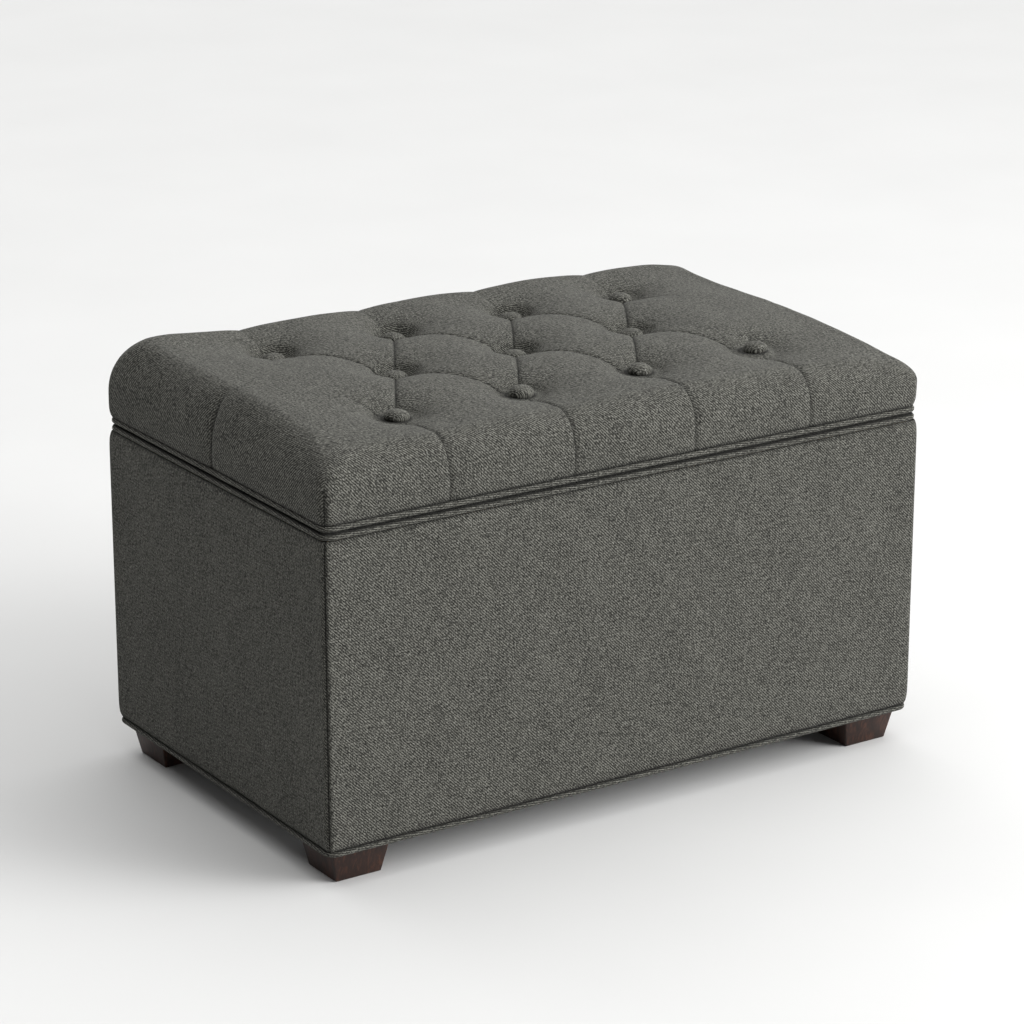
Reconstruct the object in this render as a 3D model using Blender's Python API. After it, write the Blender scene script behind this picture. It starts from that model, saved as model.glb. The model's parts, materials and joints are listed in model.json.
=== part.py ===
"""Upholstered storage bench: a plywood box on four tapered feet, with a button-tufted lid.

The lid turns on two butt hinges at the back, and two folding stays steady it. Run with
blender --background --python part.py, or from Blender's text editor.

Metres, +Z up, front at -Y. The origin is on the floor, at the centre of the bench's outer box.
"""

import math

import bmesh
import bpy
from mathutils import Vector

MM = 0.001
CLEARANCE = 0.3 * MM  # air between pieces that touch

# Overall size
WIDTH = 762 * MM
DEPTH = 462 * MM
SPLIT_Z = 385 * MM  # where the lid meets the box
LID_TOP_Z = 480 * MM
FOOT_HEIGHT = 37 * MM

# Layers of the padded walls, from the outside in
COVER = 2 * MM
WRAP = 8.4 * MM
PLYWOOD = 15 * MM
LINING = 1.5 * MM
SHEET = 0.8 * MM  # the black cloth under the box and under the lid

# Piping
WELT_RADIUS = 3.8 * MM
WELT_INSET = 1.7 * MM  # the piping stands this far inside the padded faces
WELT_CORNER = 12 * MM
WELT_SPLIT = 0.6 * MM  # from the split plane to each of the two pipings beside it

# Feet
FOOT_TOP = 69.6 * MM
FOOT_BOTTOM = 54.8 * MM
FOOT_INSET = 12.4 * MM  # from the padded faces to the foot's top edge
BOLT_RADIUS = 4 * MM
BOLT_HEAD_RADIUS = 7 * MM

# Tufted lid
LID_CORNER = 12 * MM
LID_ROUND = 50 * MM  # how far the side curves over on its way to the top
LID_TUCK = 2.5 * MM  # the cover draws in by this much at the piping
LID_COVER = 3 * MM
TUFT_PITCH = 153 * MM  # between buttons of one row
TUFT_ROW = 126.6 * MM  # from the middle row to the outer ones
BUTTON_RADIUS = 14 * MM
BUTTON_TOP_Z = 461 * MM
BUTTON_HEIGHT = 8 * MM
WELL_RADIUS = 42 * MM  # of a tuft's hollow at the top of the lid
TWINE_RADIUS = 1.4 * MM

# Butt hinges
PIN_RADIUS = 1.4 * MM
KNUCKLE_RADIUS = 3.2 * MM
LEAF = 1.2 * MM
LEAF_LENGTH = 60 * MM
LEAF_REACH = 22 * MM
HINGE_X = 215 * MM

# Folding stays. The arms, the hinge line and the two brackets make a parallelogram.
STAY_BODY = Vector((0, -78, -87)) * MM  # from the hinge line to the pivot on the box
STAY_LID = Vector((0, -165, -13)) * MM  # from the hinge line to the pivot on the lid
ARM = 2 * MM
ARM_WIDTH = 14 * MM
RIVET_RADIUS = 2.5 * MM
RIVET_HEAD = 4.6 * MM

# Worked out from the sizes above
KNUCKLE_STANDOFF = 0.5 * MM
PIN_Y_FROM_MIDDLE = DEPTH / 2 - WELT_INSET + KNUCKLE_STANDOFF + KNUCKLE_RADIUS
HINGE_OVERHANG = PIN_Y_FROM_MIDDLE + KNUCKLE_RADIUS - DEPTH / 2
MIDDLE_Y = -HINGE_OVERHANG / 2  # the box's own middle, so that the outer box is centred
PIN = Vector((0, MIDDLE_Y + PIN_Y_FROM_MIDDLE, SPLIT_Z))
WRAP_FACE = COVER + CLEARANCE
PANEL_FACE = WRAP_FACE + WRAP + CLEARANCE
LINING_FACE = PANEL_FACE + PLYWOOD + CLEARANCE
ROOM_FACE = LINING_FACE + LINING
UNDERSIDE_Z = FOOT_HEIGHT + CLEARANCE + SHEET + CLEARANCE
FLOOR_PLY = 12 * MM
FLOOR_TOP_Z = UNDERSIDE_Z + FLOOR_PLY
BOLT_HEAD = 2 * MM
LINING_FLOOR_Z = FLOOR_TOP_Z + CLEARANCE + BOLT_HEAD + CLEARANCE
BODY_WELT_Z = SPLIT_Z - WELT_SPLIT - WELT_RADIUS
LID_WELT_Z = SPLIT_Z + WELT_SPLIT + WELT_RADIUS
BASE_WELT_Z = FOOT_HEIGHT + 2.5 * MM
LEAF_GAP = 0.2 * MM  # from the split plane to each hinge leaf
PANEL_TOP_Z = SPLIT_Z - LEAF_GAP - LEAF - CLEARANCE
LID_SHEET_Z = SPLIT_Z + LEAF_GAP + LEAF + CLEARANCE
BOARD_Z = LID_SHEET_Z + SHEET + CLEARANCE
BOARD_TOP_Z = BOARD_Z + PLYWOOD
LID_COVER_Z = LID_WELT_Z + WELT_RADIUS + CLEARANCE
POST_LEG = 32 * MM

SIDES = (("left", -1), ("right", 1))
ENDS = (("front", -1), ("back", 1))
CORNERS = [(f"{end}_{side}", sx, sy) for end, sy in ENDS for side, sx in SIDES]


# ---------------------------------------------------------------- helpers

def clear_scene():
    for obj in list(bpy.data.objects):
        bpy.data.objects.remove(obj, do_unlink=True)


def material(name, colour, roughness, metallic=0.0):
    made = bpy.data.materials.new(name)
    made.use_nodes = True
    shader = made.node_tree.nodes["Principled BSDF"]
    shader.inputs["Base Color"].default_value = (*colour, 1)
    shader.inputs["Roughness"].default_value = roughness
    shader.inputs["Metallic"].default_value = metallic
    made.diffuse_color = (*colour, 1)
    return made


def make_object(name, bm, finish=None, origin=(0, 0, 0), smooth=False):
    """An object from a bmesh given in world positions, with its origin moved to origin."""
    bmesh.ops.recalc_face_normals(bm, faces=bm.faces)
    bmesh.ops.translate(bm, verts=bm.verts, vec=-Vector(origin))
    mesh = bpy.data.meshes.new(name)
    bm.to_mesh(mesh)
    bm.free()
    if smooth:
        mesh.shade_smooth()
        mesh.set_sharp_from_angle(angle=math.radians(35))
    obj = bpy.data.objects.new(name, mesh)
    obj.location = origin
    if finish:
        mesh.materials.append(finish)
    bpy.context.scene.collection.objects.link(obj)
    return obj


def add_box(bm, low, high):
    """Adds a box to a bmesh, from its low corner to its high one, and returns its vertices."""
    made = bmesh.ops.create_cube(bm, size=1)["verts"]
    low, high = Vector(low), Vector(high)
    bmesh.ops.scale(bm, verts=made, vec=high - low)
    bmesh.ops.translate(bm, verts=made, vec=(low + high) / 2)
    return made


def add_rod(bm, start, end, radius, end_radius=None, segments=12):
    """Adds a cylinder or cone to a bmesh, from start to end."""
    start, end = Vector(start), Vector(end)
    axis = end - start
    made = bmesh.ops.create_cone(
        bm,
        cap_ends=True,
        segments=segments,
        radius1=radius,
        radius2=radius if end_radius is None else end_radius,
        depth=axis.length,
    )["verts"]
    turn = Vector((0, 0, 1)).rotation_difference(axis).to_matrix()
    bmesh.ops.rotate(bm, verts=made, matrix=turn)
    bmesh.ops.translate(bm, verts=made, vec=(start + end) / 2)
    return made


def box(name, low, high, finish, bevel=0.0):
    bm = bmesh.new()
    add_box(bm, low, high)
    if bevel:
        bmesh.ops.bevel(
            bm, geom=bm.edges[:], offset=bevel, segments=1, profile=0.5, affect="EDGES"
        )
    return make_object(name, bm, finish)


def cutter(name, bm):
    obj = make_object(name, bm)
    obj.hide_render = True
    obj.display_type = "WIRE"
    return obj


def combine(obj, other, operation):
    modifier = obj.modifiers.new(other.name, "BOOLEAN")
    modifier.object = other
    modifier.operation = operation
    modifier.solver = "EXACT"


def rounded_outline(half_x, half_y, radius, steps=3):
    """Points round a rectangle with rounded corners, centred on the box's middle."""
    points = []
    for sx, sy, start in ((1, 1, 0), (-1, 1, 90), (-1, -1, 180), (1, -1, 270)):
        for step in range(steps + 1):
            angle = math.radians(start + 90 * step / steps)
            x = sx * (half_x - radius) + radius * math.cos(angle)
            y = MIDDLE_Y + sy * (half_y - radius) + radius * math.sin(angle)
            points.append((x, y))
    return points


def add_loft(bm, rings):
    """Adds a closed solid through rings of points, each ring an (outline, z) pair."""
    loops = [[bm.verts.new((x, y, z)) for x, y in outline] for outline, z in rings]
    for lower, upper in zip(loops, loops[1:]):
        for here, (a, b) in enumerate(zip(lower, upper)):
            bm.faces.new((lower[here - 1], a, b, upper[here - 1]))
    bm.faces.new(loops[0])
    bm.faces.new(loops[-1])


def inside(face):
    """Half sizes of the rectangle that lies this far inside the padded faces."""
    return WIDTH / 2 - face, DEPTH / 2 - face


# ---------------------------------------------------------------- the box

def plywood_walls(finish):
    half_x, half_y = inside(PANEL_FACE)
    for end, sy in ENDS:
        ys = sorted((MIDDLE_Y + sy * half_y, MIDDLE_Y + sy * (half_y - PLYWOOD)))
        box(
            f"{end}_panel",
            (-half_x, ys[0], UNDERSIDE_Z),
            (half_x, ys[1], PANEL_TOP_Z),
            finish,
        )
    reach = half_y - PLYWOOD - CLEARANCE
    for side, sx in SIDES:
        xs = sorted((sx * half_x, sx * (half_x - PLYWOOD)))
        box(
            f"{side}_panel",
            (xs[0], MIDDLE_Y - reach, UNDERSIDE_Z),
            (xs[1], MIDDLE_Y + reach, PANEL_TOP_Z),
            finish,
        )


def floor_panel(finish, bolt_cutter):
    half_x, half_y = inside(LINING_FACE)
    floor = box(
        "floor_panel",
        (-half_x, MIDDLE_Y - half_y, UNDERSIDE_Z),
        (half_x, MIDDLE_Y + half_y, FLOOR_TOP_Z),
        finish,
    )
    combine(floor, bolt_cutter, "DIFFERENCE")


def corner_posts(finish):
    """Triangular glue blocks that stand on the floor panel, one in each inner corner."""
    half_x, half_y = inside(LINING_FACE)
    top_z = PANEL_TOP_Z - 8 * MM
    for name, sx, sy in CORNERS:
        x, y = sx * half_x, MIDDLE_Y + sy * half_y
        triangle = [(x, y), (x - sx * POST_LEG, y), (x, y - sy * POST_LEG)]
        bm = bmesh.new()
        add_loft(bm, [(triangle, FLOOR_TOP_Z + CLEARANCE), (triangle, top_z)])
        make_object(f"{name}_post", bm, finish)


def padding_wrap(finish):
    """One band of foam glued round the four walls."""
    outer_x, outer_y = inside(WRAP_FACE)
    inner_x, inner_y = inside(WRAP_FACE + WRAP)
    top_z = BODY_WELT_Z - WELT_RADIUS - CLEARANCE
    bottom_z = BASE_WELT_Z + WELT_RADIUS + CLEARANCE
    bm = bmesh.new()
    outline = rounded_outline(outer_x, outer_y, 6 * MM)
    add_loft(bm, [(outline, bottom_z), (outline, top_z)])
    wrap = make_object("padding_wrap", bm, finish)
    bm = bmesh.new()
    add_box(
        bm,
        (-inner_x, MIDDLE_Y - inner_y, bottom_z - WRAP),
        (inner_x, MIDDLE_Y + inner_y, top_z + WRAP),
    )
    combine(wrap, cutter("padding_wrap_cutter", bm), "DIFFERENCE")


def box_covers(finish):
    """The four fabric panels, which meet at a seam on each corner."""
    top_z = BODY_WELT_Z - WELT_RADIUS - CLEARANCE
    bottom_z = BASE_WELT_Z + WELT_RADIUS + CLEARANCE
    half_x, half_y = inside(0)
    for end, sy in ENDS:
        ys = sorted((MIDDLE_Y + sy * half_y, MIDDLE_Y + sy * (half_y - COVER)))
        box(f"{end}_cover", (-half_x, ys[0], bottom_z), (half_x, ys[1], top_z), finish)
    reach = half_y - COVER - CLEARANCE
    for side, sx in SIDES:
        xs = sorted((sx * half_x, sx * (half_x - COVER)))
        box(
            f"{side}_cover",
            (xs[0], MIDDLE_Y - reach, bottom_z),
            (xs[1], MIDDLE_Y + reach, top_z),
            finish,
        )


def welt(name, z, finish):
    """A ring of piping round the bench at one height."""
    half_x, half_y = inside(WELT_INSET + WELT_RADIUS)
    curve = bpy.data.curves.new(name, "CURVE")
    curve.dimensions = "3D"
    curve.bevel_depth = WELT_RADIUS
    curve.bevel_resolution = 2
    points = rounded_outline(half_x, half_y, WELT_CORNER - WELT_RADIUS, steps=4)
    spline = curve.splines.new("POLY")
    spline.use_cyclic_u = True
    spline.points.add(len(points) - 1)
    for point, (x, y) in zip(spline.points, points):
        point.co = (x, y, z, 1)
    guide = bpy.data.objects.new(f"{name}_guide", curve)
    bpy.context.scene.collection.objects.link(guide)
    graph = bpy.context.evaluated_depsgraph_get()
    mesh = bpy.data.meshes.new_from_object(guide.evaluated_get(graph))
    bpy.data.objects.remove(guide)
    mesh.materials.append(finish)
    mesh.shade_smooth()
    ring = bpy.data.objects.new(name, mesh)
    bpy.context.scene.collection.objects.link(ring)
    return ring


def storage_lining(finish):
    """An open cloth tub inside the walls, cut across the corners where the posts stand."""
    half_x, half_y = inside(LINING_FACE)
    leg = POST_LEG + 2 * CLEARANCE
    inner_leg = leg - LINING * (2 - math.sqrt(2))  # keeps the sloping walls as thick
    bm = bmesh.new()
    outline = rounded_outline(half_x, half_y, leg, steps=1)
    add_loft(bm, [(outline, LINING_FLOOR_Z), (outline, PANEL_TOP_Z)])
    lining = make_object("storage_lining", bm, finish)
    bm = bmesh.new()
    outline = rounded_outline(half_x - LINING, half_y - LINING, inner_leg, steps=1)
    top_z = PANEL_TOP_Z + 10 * LINING
    add_loft(bm, [(outline, LINING_FLOOR_Z + LINING), (outline, top_z)])
    combine(lining, cutter("storage_lining_cutter", bm), "DIFFERENCE")


def dust_cover(finish, bolt_cutter):
    """Black cloth stapled under the box, between the feet and the floor panel."""
    half_x, half_y = inside(PANEL_FACE)
    sheet = box(
        "dust_cover",
        (-half_x, MIDDLE_Y - half_y, FOOT_HEIGHT + CLEARANCE),
        (half_x, MIDDLE_Y + half_y, FOOT_HEIGHT + CLEARANCE + SHEET),
        finish,
    )
    combine(sheet, bolt_cutter, "DIFFERENCE")


def foot_centres():
    half_x, half_y = inside(FOOT_INSET + FOOT_TOP / 2)
    return [(name, sx * half_x, MIDDLE_Y + sy * half_y) for name, sx, sy in CORNERS]


def square(x, y, side):
    half = side / 2
    signs = ((1, 1), (-1, 1), (-1, -1), (1, -1))
    return [(x + sx * half, y + sy * half) for sx, sy in signs]


def foot_bolt_cutter():
    bm = bmesh.new()
    for _, x, y in foot_centres():
        add_rod(
            bm,
            (x, y, FOOT_HEIGHT - 25 * MM),
            (x, y, FLOOR_TOP_Z + 5 * MM),
            BOLT_RADIUS + CLEARANCE,
        )
    return cutter("foot_bolt_cutter", bm)


def feet_and_bolts(wood, steel, bolt_cutter):
    for name, x, y in foot_centres():
        bm = bmesh.new()
        add_loft(bm, [(square(x, y, FOOT_BOTTOM), 0), (square(x, y, FOOT_TOP), FOOT_HEIGHT)])
        bmesh.ops.bevel(
            bm, geom=bm.edges[:], offset=0.8 * MM, segments=1, profile=0.5, affect="EDGES"
        )
        foot = make_object(f"{name}_foot", bm, wood, origin=(x, y, 0))
        combine(foot, bolt_cutter, "DIFFERENCE")

        head_z = FLOOR_TOP_Z + CLEARANCE
        bm = bmesh.new()
        add_rod(bm, (x, y, FOOT_HEIGHT - 24 * MM), (x, y, head_z + MM), BOLT_RADIUS)
        bolt = make_object(f"{name}_foot_bolt", bm, steel, smooth=True)
        bm = bmesh.new()
        add_rod(bm, (x, y, head_z), (x, y, head_z + BOLT_HEAD), BOLT_HEAD_RADIUS)
        combine(bolt, cutter(f"{name}_foot_bolt_head", bm), "UNION")


# ---------------------------------------------------------------- the lid

def tuft_places():
    """Name, x and y of each button: rows of four, three and four, set like brickwork."""
    places = []
    for row, count, y in (("back", 4, TUFT_ROW), ("middle", 3, 0), ("front", 4, -TUFT_ROW)):
        for number in range(count):
            x = (number - (count - 1) / 2) * TUFT_PITCH
            places.append((f"{row}_button_{number + 1}", x, MIDDLE_Y + y))
    return places


def pillow_rings(shrink, bottom_z):
    """Rings of the lid's padded outline, shrunk on every side, from bottom_z to the top."""
    half_x, half_y = inside(shrink)
    shoulder_z = LID_TOP_Z - LID_ROUND
    profile = [(LID_TUCK, bottom_z), (0, bottom_z + 12 * MM), (0, shoulder_z)]
    steps = 5
    for step in range(1, steps + 1):
        angle = math.radians(90) * step / steps
        rise = (LID_ROUND - shrink) * math.sin(angle)
        profile.append((LID_ROUND * (1 - math.cos(angle)), shoulder_z + rise))
    rings = []
    for inset, z in profile:
        outline = rounded_outline(
            half_x - inset, half_y - inset, LID_CORNER + 0.8 * inset, steps=3
        )
        rings.append((outline, z))
    return rings


def tuft_cutter(name, seat_z, widen):
    """Eleven cones that open upwards from the buttons' seats."""
    seat_radius = BUTTON_RADIUS + MM + widen
    slope = (WELL_RADIUS - BUTTON_RADIUS) / (LID_TOP_Z - BUTTON_TOP_Z + BUTTON_HEIGHT)
    reach = LID_TOP_Z + 5 * MM - seat_z
    bm = bmesh.new()
    for _, x, y in tuft_places():
        add_rod(
            bm,
            (x, y, seat_z),
            (x, y, seat_z + reach),
            seat_radius,
            seat_radius + slope * reach,
            segments=14,
        )
    return cutter(name, bm)


def twine_cutter(low_z):
    bm = bmesh.new()
    for _, x, y in tuft_places():
        add_rod(
            bm, (x, y, low_z), (x, y, BUTTON_TOP_Z), TWINE_RADIUS + CLEARANCE, segments=8
        )
    return cutter("twine_cutter", bm)


def lid_board(finish, twine):
    half_x, half_y = inside(PANEL_FACE)
    board = box(
        "lid_board",
        (-half_x, MIDDLE_Y - half_y, BOARD_Z),
        (half_x, MIDDLE_Y + half_y, BOARD_TOP_Z),
        finish,
    )
    combine(board, twine, "DIFFERENCE")


def lid_foam(finish, twine):
    """A block of foam with a hollow for each button, wrapped over the board's edges."""
    bm = bmesh.new()
    add_loft(bm, pillow_rings(LID_COVER + CLEARANCE, LID_COVER_Z + CLEARANCE))
    foam = make_object("lid_foam", bm, finish, smooth=True)
    half_x, half_y = inside(PANEL_FACE - CLEARANCE)
    bm = bmesh.new()
    add_box(
        bm,
        (-half_x, MIDDLE_Y - half_y, BOARD_Z - PLYWOOD),
        (half_x, MIDDLE_Y + half_y, BOARD_TOP_Z + CLEARANCE),
    )
    combine(foam, cutter("lid_board_cutter", bm), "DIFFERENCE")
    seat_z = BUTTON_TOP_Z - BUTTON_HEIGHT - 2 * CLEARANCE - LID_COVER
    wells = tuft_cutter("foam_well_cutter", seat_z, LID_COVER + CLEARANCE)
    combine(foam, wells, "DIFFERENCE")
    combine(foam, twine, "DIFFERENCE")


def lid_cover(finish, twine):
    """The tufted fabric: a shell over the foam, drawn down to a seat under each button."""
    bm = bmesh.new()
    add_loft(bm, pillow_rings(0, LID_COVER_Z))
    cover = make_object("lid_cover", bm, finish, smooth=True)
    seat_z = BUTTON_TOP_Z - BUTTON_HEIGHT - CLEARANCE
    combine(cover, tuft_cutter("cover_well_cutter", seat_z, 0), "DIFFERENCE")

    rings = pillow_rings(LID_COVER, LID_COVER_Z)
    outline, _ = rings[0]
    bm = bmesh.new()
    add_loft(bm, [(outline, LID_COVER_Z - PLYWOOD), *rings])
    core = cutter("cover_core_cutter", bm)
    pillars = tuft_cutter("cover_pillar_cutter", seat_z - LID_COVER, LID_COVER)
    combine(core, pillars, "DIFFERENCE")
    combine(cover, core, "DIFFERENCE")
    combine(cover, twine, "DIFFERENCE")


def lid_underside(finish):
    half_x, half_y = inside(PANEL_FACE + 4 * MM)
    box(
        "lid_underside_cloth",
        (-half_x, MIDDLE_Y - half_y, LID_SHEET_Z),
        (half_x, MIDDLE_Y + half_y, LID_SHEET_Z + SHEET),
        finish,
    )


def buttons(finish):
    """Covered buttons: a domed disc on a shank of twine that runs down into the board."""
    low_z = BUTTON_TOP_Z - BUTTON_HEIGHT
    profile = ((0.86, 0), (1, 0.3), (1, 0.5), (0.82, 0.82), (0.45, 1))
    for name, x, y in tuft_places():
        rings = []
        for share, rise in profile:
            radius = share * BUTTON_RADIUS
            circle = []
            for step in range(12):
                angle = math.radians(360) * step / 12
                circle.append((x + radius * math.cos(angle), y + radius * math.sin(angle)))
            rings.append((circle, low_z + rise * BUTTON_HEIGHT))
        bm = bmesh.new()
        add_loft(bm, rings)
        button = make_object(name, bm, finish, smooth=True)
        bm = bmesh.new()
        add_rod(
            bm, (x, y, BOARD_Z + 5 * MM), (x, y, low_z + 2 * MM), TWINE_RADIUS, segments=8
        )
        combine(button, cutter(f"{name}_shank", bm), "UNION")


# ---------------------------------------------------------------- hinges

def knuckle(bm, x_low, x_high):
    add_rod(bm, (x_low, PIN.y, PIN.z), (x_high, PIN.y, PIN.z), KNUCKLE_RADIUS)


def hinge(side, sx, brass):
    """A butt hinge whose leaves lie between the lid and the box, with its barrel behind."""
    centre = sx * HINGE_X
    x_low, x_high = centre - LEAF_LENGTH / 2, centre + LEAF_LENGTH / 2
    third = LEAF_LENGTH / 3
    play = 0.2 * MM
    bore = PIN_RADIUS + CLEARANCE
    wall_y = PIN.y - (bore + KNUCKLE_RADIUS) / 2

    bm = bmesh.new()
    add_rod(bm, (x_low - 5 * MM, PIN.y, PIN.z), (x_high + 5 * MM, PIN.y, PIN.z), bore)
    bore_cutter = cutter(f"{side}_hinge_bore_cutter", bm)

    leaves = (
        ("body", SPLIT_Z - LEAF_GAP - LEAF, [(x_low, x_low + third), (x_high - third, x_high)]),
        ("lid", SPLIT_Z + LEAF_GAP, [(x_low + third, x_high - third)]),
    )
    for body, leaf_z, stretches in leaves:
        bm = bmesh.new()
        add_box(
            bm,
            (x_low, wall_y - LEAF_REACH, leaf_z),
            (x_high, PIN.y - KNUCKLE_RADIUS - 2 * play, leaf_z + LEAF),
        )
        leaf = make_object(f"{side}_hinge_{body}_leaf", bm, brass, origin=(centre, *PIN.yz))
        for number, (low, high) in enumerate(stretches):
            low += play if low > x_low else 0
            high -= play if high < x_high else 0
            bm = bmesh.new()
            add_box(bm, (low, wall_y - 4 * MM, leaf_z), (high, wall_y, leaf_z + LEAF))
            tongue = cutter(f"{side}_hinge_{body}_tongue_{number}", bm)
            combine(leaf, tongue, "UNION")
            bm = bmesh.new()
            knuckle(bm, low, high)
            barrel = cutter(f"{side}_hinge_{body}_knuckle_{number}", bm)
            combine(leaf, barrel, "UNION")
        combine(leaf, bore_cutter, "DIFFERENCE")

    head = 1.2 * MM
    bm = bmesh.new()
    add_rod(
        bm,
        (x_low - CLEARANCE - head / 2, PIN.y, PIN.z),
        (x_high + CLEARANCE + head / 2, PIN.y, PIN.z),
        PIN_RADIUS,
    )
    pin = make_object(f"{side}_hinge_pin", bm, brass, smooth=True)
    for label, start, way in (("low", x_low, -1), ("high", x_high, 1)):
        bm = bmesh.new()
        near = start + way * CLEARANCE
        add_rod(bm, (near, PIN.y, PIN.z), (near + way * head, PIN.y, PIN.z), 2.4 * MM)
        combine(pin, cutter(f"{side}_hinge_pin_head_{label}", bm), "UNION")


def welt_notches(welts):
    """The two pipings at the split are thinned where the hinge leaves pass between them."""
    bm = bmesh.new()
    slot = LEAF_GAP + LEAF + CLEARANCE
    for _, sx in SIDES:
        reach = LEAF_LENGTH / 2 + MM
        add_box(
            bm,
            (sx * HINGE_X - reach, PIN.y - LEAF_REACH, SPLIT_Z - slot),
            (sx * HINGE_X + reach, PIN.y + KNUCKLE_RADIUS, SPLIT_Z + slot),
        )
    notch = cutter("welt_notch_cutter", bm)
    for ring in welts:
        combine(ring, notch, "DIFFERENCE")


# ---------------------------------------------------------------- folding stays

def add_arm(bm, start, end, x_low, x_high):
    """A flat bar in a plane of constant x, with round ends on the two pivots."""
    along = (end - start).normalized()
    across = Vector((0, -along.z, along.y))
    radius = ARM_WIDTH / 2
    outline = []
    steps = 6
    for centre, way in ((end, along), (start, -along)):
        turned = across if way is along else -across
        for step in range(steps + 1):
            angle = math.radians(180) * step / steps
            offset = -turned * math.cos(angle) + way * math.sin(angle)
            outline.append(centre + radius * offset)
    face = bm.faces.new([bm.verts.new((x_low, p.y, p.z)) for p in outline])
    made = bmesh.ops.extrude_face_region(bm, geom=[face], use_keep_orig=True)["geom"]
    top = [g for g in made if isinstance(g, bmesh.types.BMVert)]
    bmesh.ops.translate(bm, verts=top, vec=(x_high - x_low, 0, 0))


def add_stud(bm, at, x_from, x_to, radius):
    add_rod(bm, (x_from, at.y, at.z), (x_to, at.y, at.z), radius)


def joined(name, parts, finish, origin):
    """One object from several overlapping shapes, each a function that fills a bmesh."""
    first, *others = parts
    bm = bmesh.new()
    first(bm)
    obj = make_object(name, bm, finish, origin=origin)
    for number, part in enumerate(others):
        bm = bmesh.new()
        part(bm)
        combine(obj, cutter(f"{name}_part_{number}", bm), "UNION")
    return obj


def bored(obj, pivots, x_low, x_high):
    bm = bmesh.new()
    for pivot in pivots:
        add_stud(bm, pivot, x_low - MM, x_high + MM, RIVET_RADIUS + CLEARANCE)
    combine(obj, cutter(f"{obj.name}_bore_cutter", bm), "DIFFERENCE")


def stay(side, sx, steel):
    """Bracket on the wall, lower arm, upper arm and bracket on the lid, from the wall in."""
    at_body = PIN + STAY_BODY
    at_lid = PIN + STAY_LID
    elbow = PIN + STAY_BODY + STAY_LID
    wall = WIDTH / 2 - ROOM_FACE
    plate = 1.5 * MM
    head = 1.2 * MM
    play = 0.5 * MM

    def x(depth):
        """The x of a plane that lies this deep into the room from the lining."""
        return sx * (wall - depth)

    def span(start, end):
        return sorted((x(start), x(end)))

    bracket_in = CLEARANCE + plate
    lower_out = bracket_in + play
    lower_in = lower_out + ARM
    upper_out = lower_in + play
    upper_in = upper_out + ARM
    flange_out = upper_in + play
    flange_in = flange_out + plate

    def body_plate(bm):
        low, high = span(CLEARANCE, bracket_in)
        add_box(
            bm,
            (low, at_body.y - 11 * MM, at_body.z - 24 * MM),
            (high, at_body.y + 11 * MM, at_body.z + 11 * MM),
        )

    def body_stud(bm):
        add_stud(bm, at_body, x(bracket_in - MM), x(upper_out + head / 2), RIVET_RADIUS)

    def body_stud_head(bm):
        add_stud(bm, at_body, x(lower_in + CLEARANCE), x(lower_in + play + head), RIVET_HEAD)

    joined(
        f"{side}_stay_body_bracket",
        (body_plate, body_stud, body_stud_head),
        steel,
        at_body,
    )

    def lower_bar(bm):
        add_arm(bm, at_body, elbow, *span(lower_out, lower_in))

    lower = joined(f"{side}_stay_lower_arm", (lower_bar,), steel, at_body)
    bored(lower, (at_body, elbow), *span(lower_out, lower_in))

    def upper_bar(bm):
        add_arm(bm, elbow, at_lid, *span(upper_out, upper_in))

    upper = joined(f"{side}_stay_upper_arm", (upper_bar,), steel, elbow)
    bored(upper, (elbow, at_lid), *span(upper_out, upper_in))

    def rivet_shaft(bm):
        add_stud(bm, elbow, x(lower_out - play), x(upper_in + play), RIVET_RADIUS)

    def rivet_wall_head(bm):
        add_stud(
            bm, elbow, x(lower_out - CLEARANCE - head), x(lower_out - CLEARANCE), RIVET_HEAD
        )

    def rivet_room_head(bm):
        add_stud(
            bm, elbow, x(upper_in + CLEARANCE), x(upper_in + CLEARANCE + head), RIVET_HEAD
        )

    joined(
        f"{side}_stay_rivet",
        (rivet_shaft, rivet_wall_head, rivet_room_head),
        steel,
        elbow,
    )

    base_z = LID_SHEET_Z - CLEARANCE

    def flange(bm):
        low, high = span(flange_out, flange_in)
        add_box(
            bm,
            (low, at_lid.y - 9 * MM, at_lid.z - 9 * MM),
            (high, at_lid.y + 9 * MM, base_z),
        )

    def base(bm):
        low, high = span(flange_out, flange_out + 20 * MM)
        add_box(
            bm,
            (low, at_lid.y - 22 * MM, base_z - plate),
            (high, at_lid.y + 22 * MM, base_z),
        )

    def lid_stud(bm):
        add_stud(bm, at_lid, x(flange_in - MM), x(upper_out - play), RIVET_RADIUS)

    def lid_stud_head(bm):
        start = upper_out - CLEARANCE
        add_stud(bm, at_lid, x(start), x(start - head), RIVET_HEAD)

    joined(f"{side}_stay_lid_bracket", (base, flange, lid_stud, lid_stud_head), steel, at_lid)


# ---------------------------------------------------------------- the bench

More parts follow.
